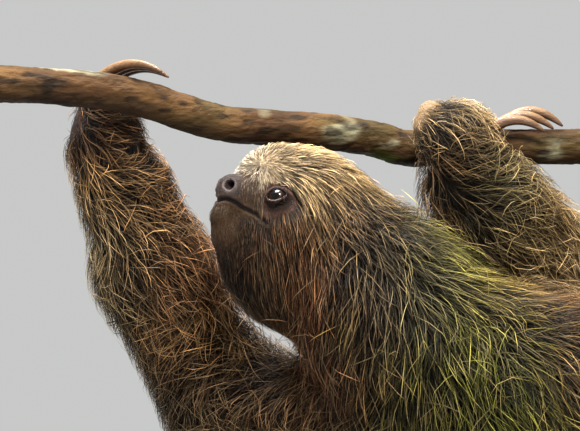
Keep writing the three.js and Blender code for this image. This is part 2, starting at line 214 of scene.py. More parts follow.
def slope(field, p, step=0.3):
    g = np.empty_like(p)
    for axis in range(3):
        d = np.zeros(3)
        d[axis] = step
        g[:, axis] = field(p + d) - field(p - d)
    return g / (2 * step)


def onto(field, p, reach, rounds=2, level=0.0):
    """Moves points onto the field's surface at `level`, each by at most `reach` a round."""
    for _ in range(rounds):
        g = slope(field, p)
        move = (field(p) - level) / np.maximum(np.sum(g * g, axis=1), 0.1)
        p = p - g * np.clip(move, -reach, reach)[:, None]
    return p


# ---- The head's own frame: nose, left ear, crown ----

yaw, pitch = math.radians(HEAD_YAW), math.radians(HEAD_PITCH)
HEAD_AXES = np.array([
    (-math.cos(yaw) * math.cos(pitch), -math.sin(yaw) * math.cos(pitch), math.sin(pitch)),
    (math.sin(yaw), -math.cos(yaw), 0),
    (math.cos(yaw) * math.sin(pitch), math.sin(yaw) * math.sin(pitch), math.cos(pitch)),
])


def in_head(p):
    return (p - HEAD_AT) @ HEAD_AXES.T


def from_head(q):
    return np.asarray(q, float) @ HEAD_AXES + HEAD_AT


def head_ellipsoid(centre, radii):
    def field(p):
        q = (in_head(p) - centre) / radii
        size = norm(q)
        return size * (size - 1) / np.maximum(norm(q / radii), 1e-9)

    return field


def head_cone(a, b, radius_a, radius_b):
    return round_cone(from_head(a), from_head(b), radius_a, radius_b)


def head_ball(x, y, z, radius):
    return ball(*from_head((x, y, z)), radius)


HEAD_SHAPES = [  # how each is made, its sizes for the coat and its sizes for the skin
    (head_ellipsoid, [(-8, 0, 1.5), (33, 34, 35.5)], [(-8, 0, 1), (28.5, 29, 30.5)]),
    (head_ellipsoid, [(8, 0, 4.5), (26, 21, 28)], [(8, 0, 4), (24.6, 20, 25)]),
    (head_cone, [(19, 0, -3), (31.5, 0, -5.5), 17, 10], [(19, 0, -3), (31.5, 0, -5.5), 16.3, 9.6]),
    (head_ellipsoid, [(36.5, 0, -1.2), (5, 8, 6)], [(36.5, 0, -1.2), (4.7, 7.7, 5.7)]),
    (head_cone, [(10, 0, -20), (34, 0, -17), 18, 8.5], [(10, 0, -19.5), (33.4, 0, -18), 17, 7.9]),
    (head_cone, [(24, 0, -28), (16, 0, -42), 12, 11.5], [(26.5, 0, -27), (14.5, 0, -41), 11.2, 9.5]),
    (head_ball, [0, 19, -13, 18], [2, 17, -13, 15.5]),
    (head_ball, [0, -19, -13, 18], [2, -17, -13, 15.5]),
]
RUFF = [(-14, 0, -25), (43, 38, 43)], [(-13, 0, -25), (38.5, 31, 37.5)]


def skull(layer):
    face = union([make(*sizes[layer]) for make, *sizes in HEAD_SHAPES], FACE_BLEND)
    return union([face, head_ellipsoid(*RUFF[layer])], RUFF_BLEND)


def body(layer):
    return union([*chain(NECK, layer), *chain([NECK[1], *SPINE], layer), *chain(TAIL, layer)], BODY_BLEND)


def limbs(layer, wrist_blend, *heel):
    palm, cuff = (ball(*pad[:3], pad[3 + layer]) for pad in (PALM_LEFT, CUFF_RIGHT))
    return {
        "arm_left": union([*chain(ARM_LEFT, layer), palm], LIMB_BLEND),
        "arm_right": union([*chain(ARM_RIGHT, layer), cuff, *heel], wrist_blend),
        "leg_left": union(chain(LEG_LEFT, layer), LIMB_BLEND),
        "leg_right": union(chain(LEG_RIGHT, layer), LIMB_BLEND),
    }


heel_pad = chain(HEEL_RIGHT, 0)[0]
coat_core = union([body(COAT_LAYER), skull(COAT_LAYER)], COAT_NECK_BLEND)
coat_field = union([coat_core, *limbs(COAT_LAYER, LIMB_BLEND).values()], COAT_LIMB_BLEND)
skin_skull = skull(SKIN_LAYER)
skin_body = body(SKIN_LAYER)
SKIN_LIMBS = limbs(SKIN_LAYER, WRIST_BLEND, heel_pad)

# ---- The eyes' places, from the frame, and the opening between the lids ----

EYE_RADIUS = 5.6
LID, LID_BLEND, LID_ROLL, LID_CLEARANCE = 0.8, 3.5, 0.35, 0.12
FOLD_AT, FOLD_WIDTH, UPPER_FOLD, LOWER_FOLD = 2.9, 0.6, 0.75, 0.25
# The bare patch's reach beyond the opening: all round, and what it gains below, behind and above
PATCH_REACH, PATCH_BELOW, PATCH_BEHIND, PATCH_ABOVE = 2.9, 2.8, 0.6, 0.7
OPENING_WIDTH, OPENING_HEIGHT = 10.6, 6.9
OPENING_HALF, OPENING_RISE = OPENING_WIDTH / 2, OPENING_HEIGHT / 2
OPENING_ARC = (OPENING_HALF * OPENING_HALF + OPENING_RISE * OPENING_RISE) / (2 * OPENING_RISE)


def eye_frame(side):
    """The eye's centre and its axes: out of the head, along the opening, and up."""
    low, high = (np.array(corner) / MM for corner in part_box("eye_" + side))
    at = (low + high) / 2
    out = unit(slope(coat_core, at[None]))[0]
    along = unit(np.array([1.0, 0, 0]) - out[0] * out) if side == "left" else unit(np.cross([0, 0, 1.0], out))
    up = np.cross(out, along)
    return at, out, along, up * (1 if up[2] > 0 else -1)


EYES = {side: eye_frame(side) for side in ("left", "right")}


def opening(p, side):
    """How far a point lies outside the almond between the lids, how far out of the head, and how far up."""
    at, out, along, up = EYES[side]
    q = p - at
    x, z = q @ along, q @ up
    return np.hypot(x, np.abs(z) + OPENING_ARC - OPENING_RISE) - OPENING_ARC, q @ out, z


def outside_patch(p, side):
    """How far a point lies outside the eye's dark patch, which reaches furthest below and behind the eye."""
    edge, out, up = opening(p, side)
    behind = (EYES[side][0] - p) @ HEAD_AXES[0]
    reach = PATCH_REACH + PATCH_BELOW * ramp(up, 0, -6) + PATCH_BEHIND * ramp(behind, 0, 7)
    reach += PATCH_ABOVE * ramp(up, 0, 3)
    return np.where(out > -8, edge - reach, 9.0), out


# ---- The skin's field: mouth and nostrils in the head's own frame, nose, left ear, crown ----

NOSTRIL_AT, NOSTRIL_END = (40.0, 6.6, -1.9), (33, 3.8, 0.5)
NOSTRIL_MOUTH, NOSTRIL_DEEP = 2.5, 1.4
MOUTH = [
    (19.6, 23.9, -17.5), (22, 21, -16.2), (24.5, 17, -13.7), (30.5, 11, -11.8), (35, 8.8, -10.2),
    (39.5, 5.5, -9.6), (42, 0, -11),
]
GROOVE, GROOVE_WIDTH, LIP, LIP_WIDTH = 3.0, 0.8, 0.5, 2.0
PHILTRUM, NOSTRIL_RING = 0.7, 0.6

mouth_line = np.vstack([MOUTH, [(f, -s, u) for f, s, u in MOUTH[-2::-1]]])
mouth_line = onto(skin_skull, catmull_rom(from_head(mouth_line), 60), 8, 3)
nostrils = [
    head_cone(np.multiply(NOSTRIL_AT, side), np.multiply(NOSTRIL_END, side), NOSTRIL_MOUTH, NOSTRIL_DEEP)
    for side in ((1, 1, 1), (1, -1, 1))
]


def from_mouth(p):
    """Each point's distance from the mouth's line."""
    nearest = np.full(len(p), 1e3)
    for at in mouth_line:
        nearest = np.minimum(nearest, norm(p - at))
    return nearest


def with_features(p, d):
    """Adds lids, the mouth, the nose and the folds round them to the skull's distances d."""
    for side in EYES:
        edge, out, up = opening(p, side)
        away = norm(p - EYES[side][0])
        d = join(d, away - EYE_RADIUS - LID, LID_BLEND)
        d = d + bell(edge - FOLD_AT, FOLD_WIDTH) * (out > 0) * np.where(up > 0, UPPER_FOLD, LOWER_FOLD)
        d = d - LID_ROLL * bell(edge - 0.9, 0.7) * (out > 0)
        d = -join(-d, np.maximum(edge, -out), 0.7)
        d = np.maximum(d, EYE_RADIUS + LID_CLEARANCE - away)
    mouth = from_mouth(p)
    d = d + GROOVE * bell(mouth, GROOVE_WIDTH)
    d = d - LIP * bell(mouth - LIP_WIDTH, 1.1)
    q = in_head(p)
    philtrum = bell(q[:, 1], 0.8) * ramp(q[:, 0], 36, 40) * ramp(q[:, 2], 0, -3)
    d = d + PHILTRUM * philtrum * (q[:, 2] > -12)
    for hole in nostrils:
        depth = hole(p)
        d = d - NOSTRIL_RING * bell(depth - 1, 0.8)
        d = -join(-d, depth, 1.0)
    return d


FACE_BOX = (-190.0, -52, 252), (-118.0, 34, 326)


def skin_core(p):
    d = skin_skull(p)
    near = np.all((p > FACE_BOX[0]) & (p < FACE_BOX[1]), axis=1) & (np.abs(d) < 9)
    if near.any():
        d[near] = with_features(p[near], d[near])
    return join(d, skin_body(p), SKIN_NECK_BLEND)


def skin_field(p):
    d = skin_core(p)
    for limb in SKIN_LIMBS.values():
        d = join(d, limb(p), SKIN_LIMB_BLEND)
    return d


# ---- Surface nets ----


def lines(low, high, cell, fine=None):
    """Grid lines from low to high, closer together within fine = (from, to, cell)."""
    out = [low]
    while out[-1] < high:
        inside = fine and fine[0] <= out[-1] < fine[1]
        out.append(out[-1] + (fine[2] if inside else cell))
    return np.array(out)


def sampled(field, axes, block=4, reach=14.0):
    """The field on the grid. Blocks of it that the surface can't cross hold their middle's value."""
    shape = tuple(len(a) for a in axes)
    middles = [a[np.minimum(np.arange(block // 2, len(a) + block, block), len(a) - 1)] for a in axes]
    coarse_shape = tuple(-(-n // block) for n in shape)
    middles = [m[:n] for m, n in zip(middles, coarse_shape)]
    grid = np.stack(np.meshgrid(*middles, indexing="ij"), -1).reshape(-1, 3)
    values = field(grid).reshape(coarse_shape)
    for axis in range(3):
        values = np.repeat(values, block, axis=axis)
    values = values[: shape[0], : shape[1], : shape[2]].copy()
    i, j, k = np.nonzero(np.abs(values) < reach)
    for start in range(0, len(i), 400_000):
        s = slice(start, start + 400_000)
        at = np.stack([axes[0][i[s]], axes[1][j[s]], axes[2][k[s]]], axis=1)
        values[i[s], j[s], k[s]] = field(at)
    return values


def surface(field, axes, reach):
    """A closed net of quads over the field's zero surface, with a vertex in each cell that it crosses."""
    values = sampled(field, axes)
    inside = values < 0
    cells = np.array(values.shape) - 1
    edge_points, edge_cells, quads = [], [], []
    for axis in range(3):
        starts, after = np.moveaxis(inside, axis, 0)[:-1], np.moveaxis(inside, axis, 0)[1:]
        starts, after = np.moveaxis(starts, 0, axis), np.moveaxis(after, 0, axis)
        index = np.argwhere(starts != after)
        ends = index.copy()
        ends[:, axis] += 1
        a, b = values[tuple(index.T)], values[tuple(ends.T)]
        at = np.stack([axes[n][index[:, n]] for n in range(3)], axis=1)
        at[:, axis] += a / (a - b) * (axes[axis][ends[:, axis]] - axes[axis][index[:, axis]])
        u, v = (axis + 1) % 3, (axis + 2) % 3
        ring = []
        for du, dv in ((1, 1), (0, 1), (0, 0), (1, 0)):
            cell = index.copy()
            cell[:, u] -= du
            cell[:, v] -= dv
            ring.append(np.ravel_multi_index(tuple(cell.T), tuple(cells)))
        ring = np.stack(ring, axis=1)
        forward = starts[tuple(index.T)]
        quads.append(np.where(forward[:, None], ring, ring[:, ::-1]))
        edge_points.append(np.repeat(at, 4, axis=0))
        edge_cells.append(ring.reshape(-1))
    names, vertex = np.unique(np.concatenate(edge_cells), return_inverse=True)
    points = np.concatenate(edge_points)
    count = np.bincount(vertex)
    middle = np.stack([np.bincount(vertex, points[:, n]) / count for n in range(3)], axis=1)
    net = onto(field, middle, reach)
    return net, np.searchsorted(names, np.concatenate(quads))


# ---- Meshes ----


def placed(name, data):
    ob = bpy.data.objects.new(name, data)
    bpy.context.scene.collection.objects.link(ob)
    return ob


def mesh_of(name, points, faces, tint=None, uv=None, smooth=True):
    """A mesh object from millimetre points and an array of triangles or of quads."""
    mesh = bpy.data.meshes.new(name)
    sides = faces.shape[1]
    mesh.vertices.add(len(points))
    mesh.vertices.foreach_set("co", (points * MM).astype(np.float32).ravel())
    mesh.loops.add(faces.size)
    mesh.loops.foreach_set("vertex_index", faces.astype(np.int32).ravel())
    mesh.polygons.add(len(faces))
    mesh.polygons.foreach_set("loop_start", np.arange(0, faces.size, sides, dtype=np.int32))
    mesh.polygons.foreach_set("use_smooth", np.full(len(faces), smooth))
    mesh.update(calc_edges=True)
    if tint is not None:
        layer = mesh.color_attributes.new("Tint", "FLOAT_COLOR", "POINT")
        colour = np.ones((len(points), 4), np.float32)
        colour[:, : tint.shape[1]] = tint
        layer.data.foreach_set("color", colour.ravel())
    if uv is not None:
        layer = mesh.uv_layers.new(name="OFBake")
        layer.data.foreach_set("uv", uv[faces.ravel()].astype(np.float32).ravel())
    return placed(name, mesh)


def piece(ob, slot, finish, *nodes):
    ob.data.materials.append(finish)
    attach(ob, "root")
    if nodes:
        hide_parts(*nodes)


def ringed(centres, side, up, radius, sides):
    """Rings of `sides` points, each ring round its centre in the plane of side and up."""
    angle = np.linspace(0, 2 * np.pi, sides, endpoint=False)
    across, high = np.cos(angle) * radius, np.sin(angle) * radius
    return centres[:, None] + side[:, None] * across[..., None] + up[:, None] * high[..., None]


def tube(points, radius, sides):
    """Rings round a path, with one radius for each of its points."""
    along = unit(np.gradient(points, axis=0))
    side = unit(np.cross(along, (0, 0, 1.0)))
    return ringed(points, side, np.cross(side, along), radius[:, None], sides)


def sheathed(rings):
    """Points and quads of a closed tube: its rings, closed at both ends with a point in the middle."""
    count, sides = rings.shape[:2]
    points = rings.reshape(-1, 3)
    i, j = np.meshgrid(np.arange(count - 1), np.arange(sides), indexing="ij")
    k = (j + 1) % sides
    here, there = i * sides, (i + 1) * sides
    quads = np.stack([here + j, here + k, there + k, there + j], -1).reshape(-1, 4)
    faces = np.vstack([quads[:, [0, 1, 2]], quads[:, [0, 2, 3]]])
    ends = []
    for ring, turn in ((0, -1), (count - 1, 1)):
        middle = len(points)
        points = np.vstack([points, rings[ring].mean(axis=0)])
        a = ring * sides + np.arange(sides)
        b = ring * sides + (np.arange(sides) + 1) % sides
        ends.append(np.stack([a, b, np.full(sides, middle)][::turn], axis=1))
    return points, np.vstack([faces, *ends])


# ---- Colours ----


def srgb(red, green, blue):
    c = np.array([red, green, blue]) / 255
    return np.where(c < 0.04045, c / 12.92, ((c + 0.055) / 1.055) ** 2.4)


COLOURS = {
    "ivory": srgb(255, 236, 204), "cream": srgb(242, 206, 152), "straw": srgb(208, 174, 122),
    "gold": srgb(160, 118, 70), "rust": srgb(110, 70, 42), "chestnut": srgb(88, 50, 27),
    "brown": srgb(98, 68, 42), "bistre": srgb(56, 40, 22), "umber": srgb(64, 45, 29),
    # painted_shade: laid where the throat, the armpit and the undersides of elbow and chin lie in shade.
    "painted_shade": srgb(38, 29, 20), "olive": srgb(86, 76, 36), "algae": srgb(98, 100, 26),
    "fern": srgb(128, 124, 50), "ash": srgb(118, 108, 82),
}
# Near black laid on the skin, more the deeper the coat over it: painted shade under the hair.
SKIN_SHADE_UNDER_COAT = srgb(10, 7, 4)
MUZZLE = srgb(47, 31, 18)
NOSE = srgb(46, 37, 34)
# Paler on the lower rim of the nostrils: painted highlight.
NOSTRIL_HIGHLIGHT = srgb(96, 82, 78)
CHIN = srgb(54, 36, 15)
LID_BROWN = srgb(100, 70, 60)
# Pale lower lid rim: the rim's own paler skin with a painted highlight.
LID_RIM_PALE_AND_HIGHLIGHT = srgb(150, 124, 112)
EYE_PATCH = srgb(30, 17, 11)
EYE_PATCH_EDGE = srgb(56, 33, 21)
# Near black in the mouth's slit, deep in the nostrils, inside the lids' opening and on the upper lid's
# margin: painted shade.
SHADE_BLACK = srgb(6, 4, 4)
HEEL_TAN = srgb(120, 100, 76)
BARK_BROWN, BARK_TAN, BARK_OLIVE = srgb(58, 38, 20), srgb(84, 60, 33), srgb(56, 48, 22)
# BARK_DARK_AND_SHADE: dark speckles in the bark, and painted shade on the branch's underside.
BARK_FLAKE, BARK_DARK_AND_SHADE, MOSS = srgb(130, 124, 98), srgb(22, 15, 9), srgb(60, 70, 20)
HORN_DARK, HORN_PALE, HORN_TIP = srgb(78, 50, 32), srgb(130, 98, 64), srgb(66, 43, 29)

# ---- Lie and markings: where on the animal, seen from its back, the coat runs which way in which colour; some marks are painted shade or light ----

# x, z, then the way the hair runs there in x and z, the colour, and how far the mark reaches
COAT = {
    "arm_left": [
        (-257, 328, -0.1, -1, "brown", 9), (-248, 336, 0.6, -0.4, "brown", 9),
        (-238, 342, 1, 0, "rust", 10), (-224, 331, 0.7, -0.7, "brown", 11),
        (-253, 303, -0.4, -0.9, "ash", 10), (-243, 308, 0.7, -0.4, "gold", 10),
        (-228, 306, 1, 0.15, "gold", 13), (-207, 298, 0.85, -0.5, "rust", 14),
        (-250, 274, -0.5, -0.85, "ash", 11), (-236, 274, 0.5, -0.8, "ash", 11),
        (-218, 274, 0.9, -0.35, "gold", 14), (-196, 266, 0.95, -0.3, "rust", 15),
        (-248, 252, -0.5, -0.85, "ash", 13), (-224, 250, 0.3, -0.9, "umber", 14),
        (-196, 248, 0.85, -0.35, "rust", 15), (-240, 226, -0.35, -0.9, "olive", 15),
        (-214, 226, 0.1, -1, "bistre", 15), (-184, 231, -0.9, -0.35, "gold", 13),
        # (-174, 222) lightens the arm's edge towards the throat, which lies in shade: painted light.
        (-174, 222, -0.85, -0.5, "gold", 10), (-206, 200, -0.45, -0.85, "bistre", 16),
        # (-190, 176) darkens the underside of the elbow: painted shade.
        (-176, 204, -0.75, -0.65, "umber", 14), (-190, 176, -0.6, -0.8, "painted_shade", 18),
        (-160, 182, -0.75, -0.65, "bistre", 18), (-160, 160, -0.8, -0.6, "bistre", 22),
        (-120, 150, -0.8, -0.5, "brown", 26), (-150, 130, -0.6, -0.5, "brown", 26),
    ],
    "arm_right": [
        (-60, 342, 0.95, -0.1, "straw", 9), (-47, 347, 0.9, 0.15, "straw", 9),
        (-32, 343, 0.8, 0.3, "straw", 9), (-22, 334, 0.8, -0.6, "brown", 10),
        (-61, 324, 0.1, -1, "umber", 9), (-47, 328, 0.7, 0.5, "bistre", 11),
        (-30, 326, 0.9, 0.3, "umber", 11), (-12, 318, 0.8, -0.6, "olive", 10),
        (-61, 306, -0.35, -0.9, "brown", 9), (-59, 292, -0.6, -0.7, "brown", 9),
        (-48, 312, -0.1, 1, "umber", 8), (-34, 308, 0.75, 0.65, "olive", 11), (-14, 306, 1, 0.2, "ash", 12),
        (4, 298, 0.85, -0.5, "gold", 13), (-46, 282, 0.2, -1, "umber", 10),
        (-26, 287, 1, 0.05, "olive", 13), (2, 282, 0.85, -0.5, "olive", 14),
        # (-22, 268) and (-14, 257) darken the armpit between arm, neck and trunk: painted shade.
        (-22, 268, 0.5, -0.85, "painted_shade", 12), (-14, 257, 0.6, -0.8, "painted_shade", 7),
        (-6, 262, 0.75, -0.6, "straw", 12), (24, 270, 0.7, -0.7, "straw", 18),
        (50, 240, 0.4, -0.9, "brown", 22), (55, 205, 0.1, -1, "umber", 24),
        (10, 215, 0.5, -0.8, "umber", 26),
    ],
    "body": [
        # These rows darken the neck behind the head, the throat and the chest below it, where they lie in
        # shade: painted shade.
        (-107, 272, 0.3, -0.95, "umber", 14), (-104, 244, 0.05, -1, "chestnut", 15),
        (-118, 214, -0.7, -0.7, "chestnut", 16), (-98, 212, -0.4, -0.9, "chestnut", 14),
        (-126, 190, -0.85, -0.5, "umber", 12), (-112, 174, -0.7, -0.7, "painted_shade", 16),
        (-92, 186, -0.4, -0.9, "painted_shade", 18), (-88, 250, 0.1, -1, "umber", 13),
        (-80, 291, 0.7, -0.6, "bistre", 11), (-84, 272, 0.45, -0.9, "olive", 12),
        (-74, 244, 0.1, -1, "ash", 13), (-76, 216, 0, -1, "olive", 14), (-60, 270, 0.8, -0.2, "fern", 12),
        (-46, 256, 0.85, -0.4, "fern", 13), (-34, 248, 0.8, -0.6, "gold", 12),
        (-52, 232, 0.35, -0.9, "algae", 15), (-34, 224, 0.55, -0.8, "algae", 15),
        (-40, 196, 0.5, -0.85, "algae", 18), (-60, 186, 0.2, -1, "olive", 16),
        (-62, 208, 0.25, -0.95, "olive", 14), (-16, 205, 0.55, -0.8, "algae", 16),
        (-20, 178, 0.45, -0.85, "algae", 17), (-10, 240, 1, -0.1, "rust", 12),
        (6, 232, 1, -0.2, "rust", 14), (8, 214, 0.7, -0.7, "rust", 13), (12, 192, 0.4, -0.9, "brown", 15),
        (14, 172, 0.25, -1, "olive", 16), (45, 215, 0.8, -0.55, "rust", 26),
        (45, 175, 0.3, -0.95, "olive", 28), (90, 210, 0.7, -0.6, "brown", 32),
        (90, 160, 0.3, -0.95, "olive", 34), (60, 110, 0.6, -0.7, "umber", 34),
        (120, 100, 0.7, -0.6, "brown", 36), (150, 190, 0.5, -0.8, "brown", 34),
        (160, 140, 0.25, -0.95, "olive", 34), (175, 80, 0.6, -0.6, "umber", 34),
        (215, 180, 0.4, -0.9, "brown", 30), (225, 130, 0.3, -0.95, "brown", 30),
        (250, 150, 0.5, -0.85, "gold", 22), (285, 128, 0.7, -0.7, "brown", 18),
        (315, 106, 0.75, -0.65, "gold", 18), (-20, 135, 0.3, -0.9, "umber", 30),
    ],
    "leg_left": [
        (266, 325, -0.1, -1, "straw", 16), (266, 295, -0.3, -0.95, "olive", 20),
        (240, 250, -0.3, -0.95, "brown", 28), (215, 200, 0.1, -1, "olive", 34),
        (232, 140, 0.4, -0.9, "brown", 34),
    ],
    "leg_right": [
        (192, 325, -0.1, -1, "straw", 16), (185, 295, -0.3, -0.95, "brown", 20),
        (170, 255, -0.3, -0.95, "olive", 28), (155, 215, 0.2, -1, "algae", 30),
        (190, 160, 0.5, -0.85, "brown", 34),
    ],
}
# On the head the hair runs away from a whorl on the forehead. Marks: place in the head's frame, colour, reach
WHORL = from_head((25.5, 9.5, 13.5))
WHORL_SPREAD = 130  # square millimetres
HEAD_MARKS = [
    ((27, 8, 13), "ivory", 9), ((31, 9, 4), "brown", 4), ((0, 0, 32), "cream", 15),
    ((14, 12, 24), "cream", 10), ((-14, 16, 26), "straw", 14), ((2, 26, 12), "straw", 10),
    ((-30, 0, 22), "gold", 16), ((-22, 28, 2), "gold", 13), ((4, 28, -8), "brown", 9),
    ((-8, 30, -22), "chestnut", 12), ((14, 24, -24), "umber", 8), ((25, 17, -9), "brown", 5),
    ((32, 9, -5), "umber", 6), ((33, 6, -19), "umber", 5), ((24, 10, -33), "umber", 9),
    ((14, 18, -34), "brown", 8), ((8, 20, -40), "umber", 9), ((0, 20, -54), "bistre", 13),
    # (10, 0, -54) darkens the throat under the chin: painted shade.
    ((-36, 0, -10), "brown", 18), ((10, 0, -54), "painted_shade", 12),
]
HEAD_MARKS += [((f, -side, up), name, reach) for (f, side, up), name, reach in HEAD_MARKS if side]
HEAD_MARKS.append(((-20, 26, -44), "rust", 14))


def by_whorl(p):
    """1 at the whorl, falling away over about a centimetre."""
    return np.exp(-np.sum((p - WHORL) ** 2, axis=1) / WHORL_SPREAD)


def parts_at(p):
    """How far each point belongs to the head, the body and each limb."""
    fields = {"head": skin_skull, "body": skin_body, **SKIN_LIMBS}
    weight = {name: np.exp(-np.clip(field(p), -20, 60) / 5) for name, field in fields.items()}
    total = sum(weight.values())
    return {name: w / total for name, w in weight.items()}


def lie_and_colour(p):
    """The way the hair runs at each point, not yet laid on the skin, and the coat's colour there."""
    way = np.zeros_like(p)
    colour = np.zeros_like(p)
    shares = parts_at(p)
    for name, share in shares.items():
        if name == "head":
            near = [np.exp(-np.sum((in_head(p) - at) ** 2, axis=1) / (2 * r * r)) for at, _, r in HEAD_MARKS]
            marks = [COLOURS[mark] for _, mark, _ in HEAD_MARKS]
        else:
            table = COAT[name]
            near = [np.exp(-((p[:, 0] - x) ** 2 + (p[:, 2] - z) ** 2) / (2 * r * r)) for x, z, *_, r in table]
            marks = [COLOURS[row[4]] for row in table]
        total = sum(near)[:, None] + 1e-12
        if name == "head":
            below = ramp(p[:, 2] - WHORL[2], 4, -32)[:, None]
            part_way = unit(p - WHORL) * (1 - 0.82 * below) + np.array([0.12, 0, -1.0]) * 1.1 * below
        else:
            part_way = sum(w[:, None] * np.array([row[2], 0, row[3]]) for w, row in zip(near, table)) / total
        way += share[:, None] * part_way
        colour += share[:, None] * (sum(w[:, None] * c for w, c in zip(near, marks)) / total)
    patch = (0.5 + 0.5 * noise(p, 16, 3))[:, None]
    green = 0.4 * clamp(noise(p, 22, 5) * 1.4 - 0.2)[:, None] * shares["body"][:, None]
    return way, colour * (0.7 + 0.6 * patch) * (1 - green) + COLOURS["algae"] * green


def bareness(p):
    """How bare of hair the skin is: 1 on the nose, the lids and the right hand's heel."""
    q = in_head(p)
    on_head = norm(q) < HEAD_REACH
    muzzle = ramp(q[:, 0] - 0.9 * np.maximum(q[:, 2] - 2, 0), 23, 27) * ramp(q[:, 2], -14, -11)
    pad = ramp(q[:, 0], 33, 35) * ramp(q[:, 2], -10, -8)
    bare = np.maximum(0.8 * muzzle, pad) * on_head
    for eye in EYES:
        away, _ = outside_patch(p, eye)
        bare = np.maximum(bare, ramp(away, 0.6, -0.6))
    bare = np.maximum(bare, bell(from_mouth(p), 1.8) * on_head)
    for hole in nostrils:
        bare = np.maximum(bare, ramp(hole(p), 2.5, 1.5))
    return np.maximum(bare, ramp(heel_pad(p), 1.2, 0))


def painted(base, *coats):
    """A colour with each coat's colour laid over it, by the coat's weight at each point."""
    for colour, weight in coats:
        base = base * (1 - weight[:, None]) + colour * weight[:, None]
    return base


def skin_colour(p, coat_colour, depth):
    """The coat's markings, darkened under deep hair as painted shade, with the face's bare skin over them."""
    q = in_head(p)
    front, up = q[:, 0], q[:, 2]
    on_head = norm(q) < HEAD_REACH + 5
    chin = ramp(front, 14, 24) * ramp(up, -34, -24) * ramp(up, 2, -4) * on_head
    muzzle = ramp(front, 21, 27) * ramp(up, -14, -11) * ramp(up, 20, 12) * on_head
    nose = ramp(front, 32, 36) * ramp(up, -9, -6) * on_head
    # Near black along the mouth's line: painted shade in the slit between the lips.
    mouth_shade = np.exp(-((from_mouth(p) / 1.25) ** 4)) * on_head
    colour = painted(
        coat_colour * (0.62, 0.5, 0.38),
        # Nearer black the deeper the coat over the skin: painted shade under the hair.
        (SKIN_SHADE_UNDER_COAT, np.clip(0.12 + 0.16 * depth, 0, 0.96)),
        # Paler where the hair parts at the whorl: painted light over the shade there.
        (coat_colour * (0.8, 0.72, 0.6), 0.8 * by_whorl(p)),
        (CHIN, 0.9 * chin),
        (MUZZLE, muzzle),
        (NOSE, nose),
    )
    wet = nose
    for eye in EYES:
        edge, out, above = opening(p, eye)
        near = ramp(out, -7, -5)
        away = outside_patch(p, eye)[0] + 0.8 * noise(p, 4, 9)
        colour = painted(
            colour,
            (EYE_PATCH_EDGE, ramp(away, 3.4, 0.4) * near),
            (EYE_PATCH, ramp(away, 0.9, -2.1) * near),
            (LID_BROWN, bell(edge - 2.6, 0.7) * near * (above > 1) * 0.7),
            # Near black just inside the opening's edge, where lid meets eyeball: painted shade.
            (SHADE_BLACK, ramp(edge, 0.3, -0.2) * near * 0.9),
        )
        wet = np.maximum(wet, ramp(edge, 1.5, 0.5) * near)
    colour = painted(colour, (SHADE_BLACK, mouth_shade))
    for hole in nostrils:
        # Paler on the lower rim of each nostril: painted highlight.
        rim = bell(hole(p) - 1.3, 0.7) * ramp(up, 1, -2)
        # Near black deep in each nostril: painted shade.
        colour = painted(colour, (NOSTRIL_HIGHLIGHT, rim), (SHADE_BLACK, ramp(hole(p), 0.3, -0.5)))
    colour = painted(colour, (HEEL_TAN, ramp(heel_pad(p), 1.6, 0))) * (1 + 0.16 * noise(p, 3, 8))[:, None]
    return np.column_stack([colour, 1 - 0.45 * wet])


# ---- Materials ----


def node_material(name, roughness, **settings):
    material = bpy.data.materials.new(name)
    material.use_nodes = True
    tree = material.node_tree
    shader = tree.nodes["Principled BSDF"]
    shader.inputs["Roughness"].default_value = roughness
    for key, value in settings.items():
        shader.inputs[key.replace("_", " ")].default_value = value
    return material, tree, shader


def add(tree, kind, **values):
    node = tree.nodes.new(kind)
    for key, value in values.items():
        if hasattr(node, key):
            setattr(node, key, value)
        else:
            node.inputs[key.replace("_", " ")].default_value = value
    return node


def wire(tree, *links):
    """Each link: a node, its output, the next node and its input."""
    for source, output, target, into in links:
        tree.links.new(source.outputs[output], target.inputs[into])


def noise_node(tree, scale, detail=3.0, stretch=(1.0, 1.0, 1.0)):
    """A noise texture on the object's own coordinates, drawn out along an axis where stretch is small."""
    coordinates = add(tree, "ShaderNodeTexCoord")
    mapping = add(tree, "ShaderNodeMapping", Scale=stretch)
    texture = add(tree, "ShaderNodeTexNoise", Scale=scale, Detail=detail)
    wire(tree, (coordinates, "Object", mapping, "Vector"), (mapping, "Vector", texture, "Vector"))
    return texture


def base_colour(tree, shader, source, texture, low, high):
    """Gives the shader a node's colour, made darker and lighter by a texture."""
    band = add(tree, "ShaderNodeMapRange", From_Min=0.3, From_Max=0.7, To_Min=low, To_Max=high)
    mix = add(tree, "ShaderNodeVectorMath", operation="SCALE")
    wire(tree, (texture, "Fac", band, "Value"), (source, "Color", mix, 0), (band, "Result", mix, "Scale"))
    wire(tree, (mix, "Vector", shader, "Base Color"))


def ramp_node(tree, *stops):
    """A colour ramp. The stops say position and colour, the outer two first."""
    ramp = add(tree, "ShaderNodeValToRGB")
    elements = ramp.color_ramp.elements
    for n, (position, colour) in enumerate(stops):
        stop = elements[n] if n < 2 else elements.new(position)
        stop.position, stop.color = position, (*colour, 1)
    return ramp


def bumped(tree, shader, texture, distance):
    bump = add(tree, "ShaderNodeBump", Strength=1.0, Distance=distance)
    wire(tree, (texture, "Fac", bump, "Height"), (bump, "Normal", shader, "Normal"))


